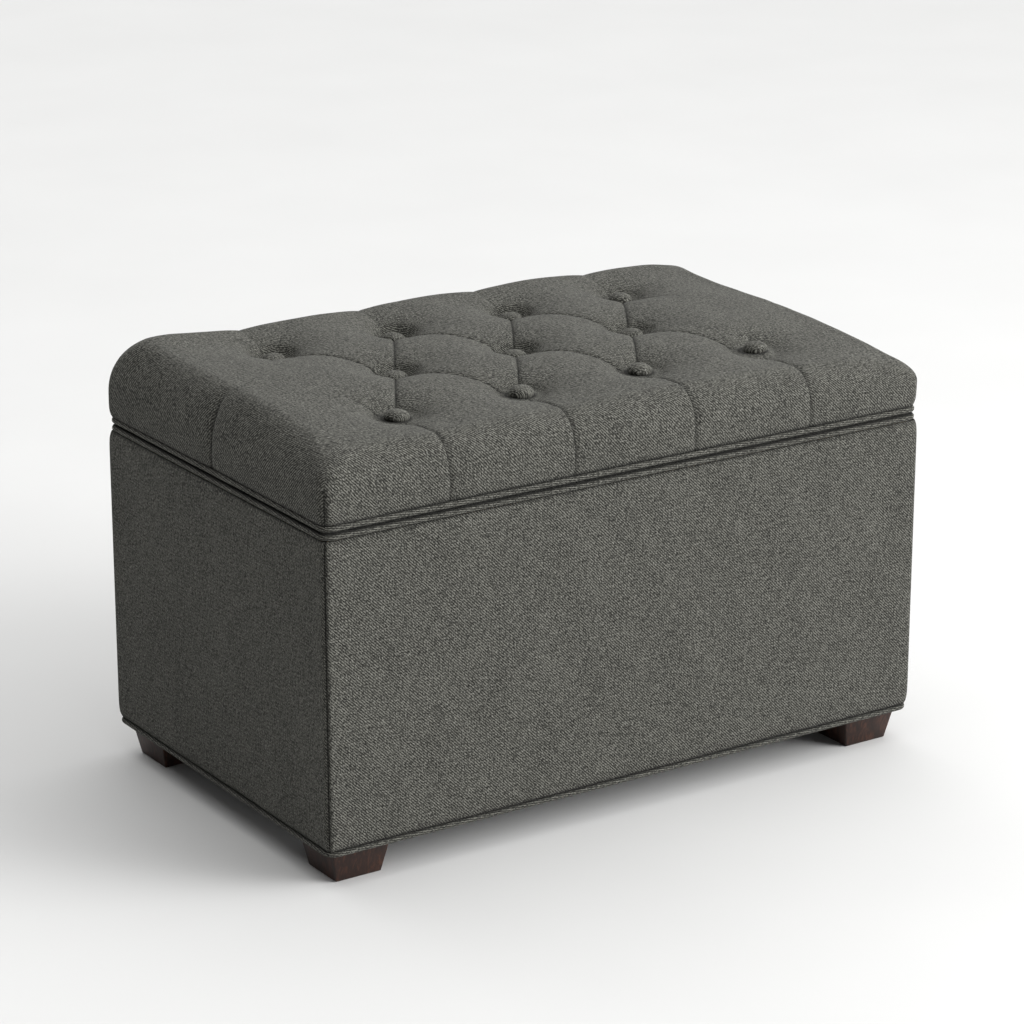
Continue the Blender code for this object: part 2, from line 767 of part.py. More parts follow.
def main():
    clear_scene()
    fabric = material("charcoal_fabric", (0.075, 0.073, 0.066), 0.95)
    plywood = material("plywood", (0.55, 0.42, 0.27), 0.7)
    pine = material("pine", (0.62, 0.47, 0.29), 0.75)
    foam = material("foam", (0.75, 0.70, 0.52), 0.9)
    cloth = material("black_cloth", (0.02, 0.02, 0.02), 0.95)
    wood = material("espresso_wood", (0.045, 0.022, 0.016), 0.4)
    steel = material("zinc_steel", (0.6, 0.6, 0.58), 0.35, 1.0)
    brass = material("antique_brass", (0.30, 0.21, 0.10), 0.4, 1.0)
    black_steel = material("black_steel", (0.03, 0.03, 0.03), 0.45, 1.0)

    bolt_cutter = foot_bolt_cutter()
    plywood_walls(plywood)
    floor_panel(plywood, bolt_cutter)
    corner_posts(pine)
    padding_wrap(foam)
    box_covers(fabric)
    body_welt = welt("body_welt", BODY_WELT_Z, fabric)
    welt("base_welt", BASE_WELT_Z, fabric)
    storage_lining(cloth)
    dust_cover(cloth, bolt_cutter)
    feet_and_bolts(wood, steel, bolt_cutter)

    twine = twine_cutter(BOARD_Z - 5 * MM)
    lid_board(plywood, twine)
    lid_foam(foam, twine)
    lid_cover(fabric, twine)
    lid_welt = welt("lid_welt", LID_WELT_Z, fabric)
    lid_underside(cloth)
    buttons(fabric)

    welt_notches((body_welt, lid_welt))
    for side, sx in SIDES:
        hinge(side, sx, brass)
        stay(side, sx, black_steel)


main()
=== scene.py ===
# %% [markdown]
# # A tufted storage bench
#
# This lesson dresses a finished engineering model of a storage bench. The model's bodies, hinges
# and layers are already right, so they are loaded as a fixed frame. What is left is what the eye
# sees: a padded lid pulled down by covered buttons, heathered cloth, piping, wood and metal.

import json
import math

import bmesh
import bpy
import numpy as np
from mathutils import Matrix, Vector, noise

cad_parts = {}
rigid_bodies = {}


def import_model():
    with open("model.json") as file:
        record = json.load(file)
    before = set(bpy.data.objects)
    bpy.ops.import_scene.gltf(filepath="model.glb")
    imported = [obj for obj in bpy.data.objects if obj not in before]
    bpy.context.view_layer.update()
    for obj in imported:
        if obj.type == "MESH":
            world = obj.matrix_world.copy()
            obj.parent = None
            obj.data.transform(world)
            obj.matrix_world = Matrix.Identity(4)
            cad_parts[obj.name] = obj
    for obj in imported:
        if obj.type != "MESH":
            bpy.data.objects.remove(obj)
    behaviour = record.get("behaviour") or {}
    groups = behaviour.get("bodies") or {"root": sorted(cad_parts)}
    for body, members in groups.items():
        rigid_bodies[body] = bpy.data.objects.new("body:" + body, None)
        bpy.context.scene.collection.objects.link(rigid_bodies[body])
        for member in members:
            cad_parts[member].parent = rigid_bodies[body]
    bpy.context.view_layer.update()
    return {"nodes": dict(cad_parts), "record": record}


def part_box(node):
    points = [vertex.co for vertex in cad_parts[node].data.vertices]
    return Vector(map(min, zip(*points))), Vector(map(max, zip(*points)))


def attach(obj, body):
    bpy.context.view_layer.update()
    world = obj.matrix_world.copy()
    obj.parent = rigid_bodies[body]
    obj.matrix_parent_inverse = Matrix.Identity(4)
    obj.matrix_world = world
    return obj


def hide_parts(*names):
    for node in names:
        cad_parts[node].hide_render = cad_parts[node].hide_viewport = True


for leftover in list(bpy.data.objects):
    bpy.data.objects.remove(leftover)
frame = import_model()
MM = 0.001


# %% [markdown]
# ## Sizes
#
# Every size comes from the frame's own boxes, so the dressed bench can't drift away from the
# engineering model. The padded faces of the lid give the outline, and the buttons give the places
# where the cloth is pulled down.

# %% Measure the frame
def corners_of(node):
    low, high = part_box(node)
    return np.array(low), np.array(high)


lid_low, lid_high = corners_of("lid_cover")
MIDDLE = (lid_low + lid_high) / 2
HALF_X, HALF_Y = (lid_high - lid_low)[:2] / 2
LID_BOTTOM, LID_TOP = lid_low[2], lid_high[2]
button_nodes = sorted(name for name in frame["nodes"] if "_button_" in name)
button_boxes = {name: corners_of(name) for name in button_nodes}
button_places = {name: (low + high) / 2 for name, (low, high) in button_boxes.items()}
ROW = button_places["back_button_1"][1] - MIDDLE[1]
PITCH = button_places["back_button_2"][0] - button_places["back_button_1"][0]
print(f"lid {2 * HALF_X:.3f} x {2 * HALF_Y:.3f} m, pitch {PITCH:.4f}, row {ROW:.4f}")


# %% [markdown]
# ## Arithmetic on sockets
#
# A cloth or a wood pattern is mostly arithmetic. Wiring Math nodes by hand hides it, so one small
# class wraps a socket: adding or multiplying two of them adds the Math node. A second class builds
# a material and has one method for every other kind of node.

# %% A socket that does arithmetic
class Signal:
    """A node's output, which adds a Math node for each operator used on it."""

    def __init__(self, finish, socket):
        self.finish = finish
        self.socket = socket

    def math(self, operation, *values, **settings):
        settings = {"operation": operation, **settings}
        return self.finish.node("ShaderNodeMath", settings, dict(enumerate(values)))

    def __add__(self, other):
        return self.math("ADD", self, other)

    def __sub__(self, other):
        return self.math("SUBTRACT", self, other)

    def __rsub__(self, other):
        return self.math("SUBTRACT", other, self)

    def __mul__(self, other):
        return self.math("MULTIPLY", self, other)

    __radd__ = __add__
    __rmul__ = __mul__

    def sine(self):
        return self.math("SINE", self)

    def clamped(self):
        return self.math("ADD", self, 0, use_clamp=True)


class Finish:
    """A material under construction, around one Principled shader."""

    def __init__(self, name, **constants):
        self.material = bpy.data.materials.new(name)
        self.material.use_nodes = True
        self.tree = self.material.node_tree
        self.shader = self.tree.nodes["Principled BSDF"]
        for socket, value in constants.items():
            self.shader.inputs[socket.replace("_", " ")].default_value = value

    def link(self, value, socket):
        if isinstance(value, Signal):
            self.tree.links.new(value.socket, socket)
        else:
            socket.default_value = value

    def node(self, kind, settings, values, output=0):
        """Adds a node: its settings first, then the values or links of its inputs."""
        made = self.tree.nodes.new(kind)
        for name, setting in settings.items():
            if name == "stops":
                ramp = made.color_ramp.elements
                while len(ramp) < len(setting):
                    ramp.new(0.5)
                for element, (place, colour) in zip(ramp, setting):
                    element.position = place
                    element.color = (*colour, 1)
            else:
                setattr(made, name, setting)
        for name, value in values.items():
            self.link(value, made.inputs[name])
        return Signal(self, made.outputs[output])

    def drive(self, **inputs):
        """Feeds the shader's own sockets."""
        for name, value in inputs.items():
            self.link(value, self.shader.inputs[name.replace("_", " ")])
        return self.material

    def relief(self, height, distance, strength):
        """Feeds a height in 0 to 1 into the shader's normal, as relief of this depth."""
        values = {"Height": height, "Distance": distance, "Strength": strength}
        self.drive(Normal=self.node("ShaderNodeBump", {}, values))

    def weave(self):
        """The piece's own thread coordinates, in metres along its two threads."""
        return self.node("ShaderNodeUVMap", {"uv_map": "weave"}, {})

    def solid(self):
        """Place in the piece itself, in metres."""
        return self.node("ShaderNodeTexCoord", {}, {}, output="Object")

    def fold(self):
        """Painted shade from the points' attribute, from 0 to 1, laid in seams, folds and recesses: 0
        where a mesh has no such attribute.
        """
        return self.node("ShaderNodeAttribute", {"attribute_name": "fold"}, {}, output="Fac")

    def mapped(self, place, scale, turn=(0, 0, 0), move=(0, 0, 0)):
        values = {"Vector": place, "Scale": scale, "Rotation": turn, "Location": move}
        return self.node("ShaderNodeMapping", {"vector_type": "POINT"}, values)

    def noise(self, place, scale, detail=2.0, distortion=0.0):
        values = {"Vector": place, "Scale": scale, "Detail": detail, "Distortion": distortion}
        return self.node("ShaderNodeTexNoise", {"noise_dimensions": "3D"}, values)

    def streaks(self, place, stretch, scale=1, detail=2.0, distortion=0.0, move=(0, 0, 0)):
        """Noise that is finer along some axes than along others, as grain and threads are."""
        return self.noise(self.mapped(place, stretch, move=move), scale, detail, distortion)

    def ramp(self, factor, *stops):
        return self.node("ShaderNodeValToRGB", {"stops": stops}, {"Fac": factor})

    def mix(self, factor, first, second):
        values = {0: factor, 6: first, 7: second}
        return self.node("ShaderNodeMix", {"data_type": "RGBA"}, values, output=2)


print("two helpers for materials")


# %% [markdown]
# ## The upholstery cloth
#
# The cloth is a charcoal twill with a heathered look: short slanting dashes about 2 mm apart,
# single threads that are lighter or darker than their neighbours, and pale flecks where a slub of
# undyed fibre comes up. Each of those is one noise, stretched along its own thread, and the noises
# are added. The same sum is the relief, so light threads also stand a little proud.

# %% Charcoal cloth
CLOTH_TINT = (1.0, 0.99, 0.865)
UNDYED = (0.26, 0.255, 0.235)
# colour of the painted shade in seams, creases and recesses
PAINTED_SEAM_SHADE = (0.004, 0.004, 0.0036, 1)


def charcoal_cloth(name, pitch, painted_lift=1.0):
    """The twill, with its slanting ribs a pitch apart; the lift lightens its colours, as painted light
    for parts that stand up into the light.
    """
    cloth = Finish(name, Roughness=0.9, Sheen_Weight=0.05, Sheen_Roughness=0.5)
    cloth.shader.inputs["Specular IOR Level"].default_value = 0.12
    cloth.shader.inputs["Sheen Tint"].default_value = (0.8, 0.8, 0.78, 1)
    uv = cloth.weave()
    slant = cloth.mapped(uv, (1, 1, 1), turn=(0, 0, math.radians(45)))
    across = cloth.node("ShaderNodeSeparateXYZ", {}, {0: slant}, output="Y")
    drift = cloth.streaks(uv, (30, 30, 1), detail=1)
    ribs = (across * (math.tau / pitch) + drift * 3.5).sine()
    dashes = cloth.streaks(slant, (340, 900, 1), detail=1)
    warp = cloth.streaks(uv, (700, 55, 1), detail=1)
    weft = cloth.streaks(uv, (55, 700, 1), detail=1, move=(9, 4, 0))
    flecks = cloth.streaks(uv, (560, 560, 1), detail=0, move=(3, 8, 0))
    patches = cloth.streaks(uv, (22, 9, 1))
    threads = (warp + weft - 1) * 0.62 + (patches - 0.5) * 0.2
    heather = 0.5 + ribs * dashes * 0.62 + (dashes - 0.5) * 1.8 + threads
    pale = ((flecks - 0.64) * 8).clamped()
    greys = ((0.0, 0.0075), (0.5, 0.042), (1.0, 0.155))
    stops = [(place, [grey * painted_lift * c for c in CLOTH_TINT]) for place, grey in greys]
    base = cloth.ramp(heather.clamped(), *stops)
    colour = cloth.mix(pale * 0.45, base, [painted_lift * c for c in UNDYED] + [1])
    # painted shade in seams, creases and recesses, from the points' attribute
    colour = cloth.mix((cloth.fold() * 0.85).clamped(), colour, PAINTED_SEAM_SHADE)
    cloth.relief(heather.clamped(), 0.5 * MM, 0.5)
    return cloth.drive(Base_Color=colour)


TWILL_PITCH = 2.4 * MM
upholstery = charcoal_cloth("charcoal_twill", TWILL_PITCH)
# a lighter copy of the same cloth for the buttons: painted light on their raised domes
lit_button_cloth = charcoal_cloth("button_twill", 0.6 * TWILL_PITCH, painted_lift=1.12)
print("cloth:", upholstery.name, lit_button_cloth.name)


# %% [markdown]
# ## Meshes from bmesh, coordinates from arrays
#
# The shapes start from bmesh operators. Two of them are used again and again: a bevel with the
# editor's own defaults, and an extrusion of a row of edges, which moves the new row and hands it over.
# Moving tens of thousands of points one by one is slow in Python, so their coordinates are read
# into an array, moved together and written back.

# %% Operator helpers
def bevel(bm, geom, offset, segments, affect="EDGES"):
    bmesh.ops.bevel(
        bm, geom=geom, offset=offset, segments=segments, affect=affect, profile=0.5, material=-1
    )


def extruded(bm, edges, move=(0, 0, 0)):
    """Extrudes a row of edges, moves the new row and returns its points and edges."""
    made = bmesh.ops.extrude_edge_only(bm, edges=edges)["geom"]
    points = [g for g in made if isinstance(g, bmesh.types.BMVert)]
    new = set(points)
    edges = [g for g in made if isinstance(g, bmesh.types.BMEdge) and new.issuperset(g.verts)]
    bmesh.ops.translate(bm, verts=points, vec=move)
    return points, edges


def outwards(bm):
    """Turns all faces to point out of the shape."""
    bmesh.ops.recalc_face_normals(bm, faces=bm.faces)


def mesh_from(bm, name):
    mesh = bpy.data.meshes.new(name)
    bm.to_mesh(mesh)
    bm.free()
    return mesh


def new_object(name, data):
    made = bpy.data.objects.new(name, data)
    bpy.context.scene.collection.objects.link(made)
    return made


print("operator helpers ready")


# %% Array helpers
def get_points(mesh):
    points = np.empty(len(mesh.vertices) * 3)
    mesh.vertices.foreach_get("co", points)
    return points.reshape(-1, 3)


def set_points(mesh, points):
    mesh.vertices.foreach_set("co", np.ascontiguousarray(points, np.float32).ravel())
    mesh.update()


def get_normals(mesh):
    normals = np.empty(len(mesh.vertices) * 3, np.float32)
    mesh.vertex_normals.foreach_get("vector", normals)
    return normals.reshape(-1, 3).astype(float)


def loop_corners(mesh):
    """The vertex of each face corner, and the face of each face corner."""
    verts = np.empty(len(mesh.loops), np.int32)
    mesh.loops.foreach_get("vertex_index", verts)
    sizes = np.empty(len(mesh.polygons), np.int32)
    mesh.polygons.foreach_get("loop_total", sizes)
    return verts, np.repeat(np.arange(len(sizes)), sizes)


def set_weave(mesh, per_corner):
    layer = mesh.uv_layers.new(name="weave")
    layer.data.foreach_set("uv", np.ascontiguousarray(per_corner, np.float32).ravel())


def set_painted_shade(mesh, amounts):
    """Painted shade at each point, from 0 to 1, laid where shade would fall in seams and folds."""
    layer = mesh.attributes.new("fold", "FLOAT", "POINT")
    layer.data.foreach_set("value", np.clip(amounts, 0, 1).astype(np.float32))


def rough(points, scale, seed=0.0):
    """Smooth noise from -1 to 1 at each point, with bumps about scale metres across."""
    shift = Vector((seed, seed * 0.7, -seed))
    return np.array([noise.noise(Vector(p) / scale + shift) for p in points])


def fade(distance, width):
    """1 on a line or at a place, falling off to about a third at this width and on towards 0."""
    return np.exp(-distance / width)


def ridge(distance, at, width):
    """1 at this distance, falling off smoothly on both sides of it."""
    return np.exp(-(((distance - at) / width) ** 2))


def piece(mesh, body, material, slot, *nodes, smooth=True):
    """An object from a mesh, riding on a body and standing for the named nodes."""
    made = new_object(mesh.name, mesh)
    mesh.materials.append(material)
    if smooth:
        mesh.shade_smooth()
    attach(made, body)
    if nodes:
        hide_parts(*nodes)
    return made


print("array helpers ready")


# %% [markdown]
# ## The lid's cushion: a grid that follows the creases
#
# Diamond tufting folds the cloth along straight lines between the buttons. A fold only looks crisp
# when mesh edges run along it, so the grid's cells have the same slope as the diamonds: each fold
# then runs exactly through cell corners, and poking the cells adds their middles. A cube is cut
# into this grid, and its flat faces are then bent into rings that round over the lid's shoulder.
# Last comes its height: a crown that is full in the middle and sags to the edges, as old foam does.

# %% Cut the grid
CELLS = 30  # from a button's column to the next crossing of folds
TUFTED = (4.6, 1.6)  # cells are poked this far out: in half pitches, and in rows
SHOULDER = 38 * MM
SHOULDER_STEPS = 22
SIDE_TOP = LID_BOTTOM + 27 * MM  # where the upright side starts to round over
SIDE_STEPS = 11
TUCK = 2.6 * MM
CORNER = 12 * MM


def insets(half, aligned, cells, gap_cells):
    """How far each grid line is from the edge, counted from the middle outwards."""
    inner = half - np.linspace(0, aligned, cells + 1)
    gap = np.linspace(half - aligned, SHOULDER, gap_cells + 1)[1:]
    angle = np.linspace(0, math.pi / 2, SHOULDER_STEPS + 1)[1:]
    return np.concatenate([inner, gap, SHOULDER * (1 - np.sin(angle))])


inset_x = insets(HALF_X, 2 * PITCH, 4 * CELLS, 13)
inset_y = insets(HALF_Y, ROW, CELLS, 16)
STEPS_X, STEPS_Y = len(inset_x) - 1, len(inset_y) - 1


def cut_cube():
    """A cube from -1 to 1, cut into the lid's grid, with no underside. Tufted cells are poked."""
    bm = bmesh.new()
    bmesh.ops.create_cube(bm, size=2)
    under = [f for f in bm.faces if f.normal.z < -0.5]
    bmesh.ops.delete(bm, geom=under, context="FACES_ONLY")
    for axis, steps in ((0, 2 * STEPS_X), (1, 2 * STEPS_Y), (2, SIDE_STEPS)):
        along = [e for e in bm.edges if abs((e.verts[0].co - e.verts[1].co)[axis]) > 1.9]
        bmesh.ops.subdivide_edges(bm, edges=along, cuts=steps - 1, use_grid_fill=True)
    reach_x, reach_y = np.array(TUFTED) * CELLS / (STEPS_X, STEPS_Y)
    tufted = []
    for face in bm.faces:
        middle = face.calc_center_median()
        if middle.z > 0.99 and abs(middle.x) < reach_x and abs(middle.y) < reach_y:
            tufted.append(face)
    bmesh.ops.poke(bm, faces=tufted)
    return bm


lid_mesh = mesh_from(cut_cube(), "lid_cushion")
print(lid_mesh.name, len(lid_mesh.vertices), "points")


# %% Bend the grid into a rounded lid
GROWTH = 0.8  # how fast the rings' corners get rounder, going up the shoulder


def ring_radius(inset):
    """The corner radius of the ring that lies this far in from the edge."""
    at_shoulder = CORNER + GROWTH * SHOULDER
    outer = CORNER + GROWTH * inset
    inner = at_shoulder - (inset - SHOULDER)
    return np.where(inset < SHOULDER, outer, np.maximum(inner, 1e-6))


def around(inset, other):
    """Radius of a ring's corner and a point's angle round it, by its insets from two sides."""
    radius = ring_radius(inset)
    share = np.clip(1 - (other - inset) / radius, 0, 2)
    return radius, share * math.pi / 4


def over_shoulder(inset, side_drop):
    """Distance over the cloth from where the shoulder starts, outwards and down."""
    angle = np.arcsin(np.clip(1 - inset / SHOULDER, 0, 1))
    return np.where(inset > SHOULDER, SHOULDER - inset, SHOULDER * angle) + side_drop


print("corner radius at the top", ring_radius(np.array(SHOULDER)).round(4))


# %% Each point's place from above
unit = get_points(lid_mesh)
step_x, step_y = np.abs(unit[:, 0]) * STEPS_X, np.abs(unit[:, 1]) * STEPS_Y
ix = np.interp(step_x, np.arange(STEPS_X + 1), inset_x)
iy = np.interp(step_y, np.arange(STEPS_Y + 1), inset_y)
sign_x, sign_y = np.sign(unit[:, 0]), np.sign(unit[:, 1])
ring = np.minimum(ix, iy)
below = (1 - unit[:, 2]) / 2  # 0 on the top face, 1 at the lower edge
side_height = SIDE_TOP - LID_BOTTOM
side_drop = below * side_height
radius, angle = around(ring, np.maximum(ix, iy))
tuck = TUCK * fade(side_height - side_drop, 5 * MM) * (below > 0)
edge_x, edge_y = HALF_X - ring - tuck - radius, HALF_Y - ring - tuck - radius
on_x = ix <= iy
far = np.maximum(ix, iy) - ring >= radius
plan_x = np.where(on_x, edge_x + radius * np.cos(angle), edge_x + radius * np.sin(angle))
plan_y = np.where(on_x, edge_y + radius * np.sin(angle), edge_y + radius * np.cos(angle))
plan_x = np.where(far & ~on_x, HALF_X - ix, plan_x)
plan_y = np.where(far & on_x, HALF_Y - iy, plan_y)
print("widest ring", (2 * plan_x.max()).round(4), "x", (2 * plan_y.max()).round(4))


# %% The lid's height before tufting
END_DROP = {"left": 2 * MM, "right": 17 * MM}
EDGE_DROP = {"front": 15 * MM, "back": 1 * MM}
FULL_CORNER = {"left": 9 * MM, "right": 5 * MM}


def crown(x, y):
    """Height of the lid before tufting: full in the middle, falling to the edges."""
    x = np.clip(x / (HALF_X - SHOULDER), -1, 1)
    y = np.clip(y / (HALF_Y - SHOULDER), -1, 1)
    end = np.where(x < 0, END_DROP["left"], END_DROP["right"]) * np.abs(x) ** 3
    edge = np.where(y < 0, EDGE_DROP["front"], EDGE_DROP["back"]) * y**2
    full = np.where(x < 0, FULL_CORNER["left"], FULL_CORNER["right"])
    return LID_TOP - end - edge + full * np.clip(y, 0.3, 1) * x**4 * y**4


top = crown(sign_x * plan_x, sign_y * plan_y)
rounding = np.sqrt(1 - np.clip(1 - ring / SHOULDER, 0, 1) ** 2)
height = SIDE_TOP + (top - SIDE_TOP) * rounding - side_drop
lid_points = np.stack([MIDDLE[0] + sign_x * plan_x, MIDDLE[1] + sign_y * plan_y, height], 1)
set_points(lid_mesh, lid_points)
print("lid spans", lid_points.min(0).round(4), lid_points.max(0).round(4))


# %% [markdown]
# ## Buttons, folds and puffs
#
# Each button pulls a hollow, and the cloth between two buttons folds into a crease. Away from both,
# the foam pushes the cloth up into a puff. So the depth at a point is a sum: one term falls off with
# the distance to the nearest button, and three others, one narrow, one middling and one broad, fall
# off with the distance to each crease. Straight pleats carry the outer buttons' pull over the edge.

# %% Where the folds run
plan = lid_points[:, :2] - MIDDLE[:2]
outward_y = over_shoulder(iy, side_drop) + HALF_Y - SHOULDER - ROW
outward_x = over_shoulder(ix, side_drop) + HALF_X - SHOULDER - 2 * PITCH
COLUMNS = (-1.5, -0.5, 0.5, 1.5)  # of the front and back rows, in pitches from the middle


def crease_lines():
    """Each diagonal fold: its two ends, and if it fades out where there is no button."""
    for middle in (-2, -1, 0, 1, 2):
        for column in (middle - 0.5, middle + 0.5):
            for side in (-1, 1):
                if column in COLUMNS:
                    start = np.array([middle * PITCH, 0])
                    yield start, np.array([column * PITCH, side * ROW]), abs(middle) == 2


def along_segment(start, end):
    """Each point's distance from a segment, and how far along it that is, from 0 to 1."""
    length = np.linalg.norm(end - start)
    direction = (end - start) / length
    offset = plan - start
    travel = np.clip(offset @ direction, 0, length)
    return np.linalg.norm(offset - travel[:, None] * direction, axis=1), travel / length


def pleat_strength(outward, first, full):
    """A straight pleat's strength on its way out and down; full ones stay broad over the edge."""
    along = [0, 0.03, 0.07, 0.12, 0.20]
    narrow = np.interp(outward, along, [first, 0.8 - 0.5 * full, 0.8 - 0.6 * full, 0.7, 0.6])
    middling = np.interp(outward, along, [first, 0.45, 0.25 + 0.1 * full, 0.12, 0.1])
    broad = np.interp(outward, along, [first, 0.3 + 0.35 * full, 0.08 + 0.4 * full, 0.04, 0.0])
    return [narrow, middling, broad]


SIDE_PLEAT = 45 * MM  # a side pleat starts this far out from the last column


def crease_fields():
    """Distance to each fold, and its strength in the narrow, middling and broad layer."""
    for start, end, fading in crease_lines():
        apart, share = along_segment(start, end)
        strength = np.clip(share * 1.9 - 0.9, 0, 1) if fading else 1.0
        bow = np.sin(math.pi * share)
        yield apart, [strength * (1 - slack * bow) for slack in (0.1, 0.45, 0.5)]
    for column in COLUMNS:
        for side in (-1, 1):
            own = (sign_y == side) & ~(on_x & (ring < SHOULDER))
            apart = np.abs(plan[:, 0] - column * PITCH)
            back = np.maximum(0, -outward_y)
            apart = np.where(own, np.hypot(apart, back), 1.0)
            yield apart, pleat_strength(outward_y, 1.0, 0.5 + 0.5 * side)
    for side in (-1, 1):
        own = (sign_x == side) & (on_x | (ring > SHOULDER))
        apart = np.hypot(np.abs(plan[:, 1]), np.maximum(0, -outward_x))
        apart = np.where(own, apart, 1.0)
        yield apart, pleat_strength(outward_x - SIDE_PLEAT, 0.0, 0.0)


print("folds:", len(list(crease_lines())))


# %% Add up the creases
# each layer of a crease: how wide, how deep, and how rounded at the bottom
LAYERS = ((1.7 * MM, 2.4 * MM, 0.0), (8 * MM, 3.2 * MM, 2.5 * MM), (26 * MM, 6.4 * MM, 12 * MM))
# width of the painted shade along the bottom of each crease
CREASE_SHADE_WIDTH = 1.2 * MM
# each point's painted shade, gathered from the creases, the buttons' rims, the darts and the lower
# edge
fold = np.zeros(len(plan))
open_share = [np.ones(len(plan)) for _ in LAYERS]
for apart, strengths in crease_fields():
    for share, strength, (width, _, soft) in zip(open_share, strengths, LAYERS):
        away = np.hypot(apart, soft) - soft
        share *= 1 - np.clip(strength, 0, 1) * fade(away, width)
    # painted shade along each crease, as strong as its narrow layer
    fold = np.maximum(fold, strengths[0] * ridge(apart, 0, CREASE_SHADE_WIDTH))
depth = sum(deep * (1 - share) for share, (_, deep, _) in zip(open_share, LAYERS))
depth *= 1 - 0.3 * np.clip(side_drop / side_height, 0, 1)  # shallower down the side
print(f"creases are up to {depth.max() * 1000:.1f} mm deep")


# %% Hollows and small folds round each button
SEAT_RADIUS = 13 * MM
SHADE_RING_RADIUS = 15 * MM  # the ring of painted shade where the cloth goes under the button
FOLD_RADIUS = 21 * MM
FOLD_DEPTH = 0.32 * MM
HOLLOW_EDGE = 31 * MM
WALL = 16 * MM
WAY_DOWN = 9 * MM  # how much longer the cloth's way is than it looks from above
BUTTON_STANDS = 9.0 * MM
ROW_SHIFT = {"front": 3 * MM, "middle": 0.0, "back": 1 * MM}


def row_shift(name):
    """How much higher a button sits than in the frame, by its row."""
    return ROW_SHIFT[name.split("_")[0]]


longer_way = np.zeros((len(plan), 2))
for number, name in enumerate(button_nodes):
    offset = plan - (button_places[name] - MIDDLE)[:2]
    away = np.linalg.norm(offset, axis=1)
    past = np.maximum(0, away - SEAT_RADIUS)
    depth += 9 * MM * fade(past, 13 * MM) + 8 * MM * fade(past, 36 * MM)
    climb = np.clip((away - 11 * MM) / (24 * MM), 0, 1)
    extra = WAY_DOWN * climb * fade(np.maximum(0, away - 35 * MM), 30 * MM)
    longer_way += offset * (extra / np.maximum(away, 1e-6))[:, None]
    turn = np.arctan2(offset[:, 1], offset[:, 0])
    folds = np.cos(13 * turn + number * 1.7) + 0.6 * np.cos(21 * turn + number * 2.9)
    depth += FOLD_DEPTH * ridge(away, FOLD_RADIUS, 11 * MM) * folds
    # a ring of painted shade round the button's edge
    fold = np.maximum(fold, ridge(away, SHADE_RING_RADIUS, 2.4 * MM))
    seat = button_boxes[name][1][2] + row_shift(name) - BUTTON_STANDS
    level = np.clip((HOLLOW_EDGE - away) / WALL, 0, 1)
    level = level * level * (3 - 2 * level)
    depth += level * (lid_points[:, 2] - seat - depth)
print(f"deepest point {depth.max() * 1000:.1f} mm below the crown")


# %% Press the tufting into the lid
normals = get_normals(lid_mesh)
slow = rough(lid_points, 85 * MM, seed=3.1)
quick = rough(lid_points, 28 * MM, seed=8.4)
calm = np.clip(1 - depth / (20 * MM), 0, 1)
depth += (1.1 * MM * slow + 0.35 * MM * quick) * calm
corner_gap = np.abs(np.maximum(ix, iy) - ring) * math.pi / 4
dart = fade(corner_gap, 1.4 * MM) * (ring < 1 * MM)
dart_fade = np.clip((LID_BOTTOM + 52 * MM - lid_points[:, 2]) / (24 * MM), 0, 1)
depth += 1.3 * MM * dart * dart_fade
# painted shade along each corner's dart, and along the lid's lower edge where it meets the piping
fold = np.maximum(fold, dart * dart_fade)
fold = np.maximum(fold, fade(lid_points[:, 2] - LID_BOTTOM, 1.5 * MM))
lid_points = lid_points - normals * depth[:, None]
lid_points[below > 0.999, 2] = LID_BOTTOM
set_points(lid_mesh, lid_points)
print("pressed", len(lid_points), "points")


# %% [markdown]
# ### Laying the cloth's threads
#
# The weave has to bend over the shoulder with the cloth, so the cushion carries its own thread
# coordinates: distance along the surface in metres. The way out of a hollow is longer than it looks
# from above, so each button pushes the coordinates round it outwards. At each corner the cloth is
# darted, and the two sides' threads meet at an angle along that dart.

# %% Thread coordinates of the lid
verts, faces = loop_corners(lid_mesh)
gap = (ix - iy)[verts]
face_side = np.bincount(faces, gap) / np.bincount(faces)
x_face = (face_side < 0)[faces]
radius_x, angle_x = around(ix, iy)
radius_y, angle_y = around(iy, ix)
run_y = np.where(iy - ix >= radius_x, HALF_Y - iy, HALF_Y - ix - radius_x * (1 - angle_x))
run_x = np.where(ix - iy >= radius_y, HALF_X - ix, HALF_X - iy - radius_y * (1 - angle_y))
rise_x = HALF_X - SHOULDER + over_shoulder(ix, side_drop)
rise_y = HALF_Y - SHOULDER + over_shoulder(iy, side_drop)
lid_u = np.where(x_face, (sign_x * rise_x)[verts], (sign_x * run_x)[verts])
lid_v = np.where(x_face, (sign_y * run_y)[verts], (sign_y * rise_y)[verts])
set_weave(lid_mesh, np.stack([lid_u, lid_v], axis=1) + longer_way[verts])
set_painted_shade(lid_mesh, fold)
print("threads laid on", len(lid_mesh.polygons), "faces")


# %% Close the underside round the board
def close_underside(mesh):
    """Folds the lower rim under, with a recess for the board that the cushion is stapled to."""
    turned_under, recess = 9 * MM, 9.6 * MM
    bm = bmesh.new()
    bm.from_mesh(mesh)
    rim = [e for e in bm.edges if e.is_boundary]
    smaller = Vector((1 - turned_under / HALF_X, 1 - turned_under / HALF_Y, 1))
    points, rim = extruded(bm, rim)
    bmesh.ops.scale(bm, verts=points, vec=smaller, space=Matrix.Translation(-Vector(MIDDLE)))
    _, rim = extruded(bm, rim, (0, 0, recess))
    bmesh.ops.edgeloop_fill(bm, edges=rim)
    outwards(bm)
    bm.to_mesh(mesh)
    bm.free()


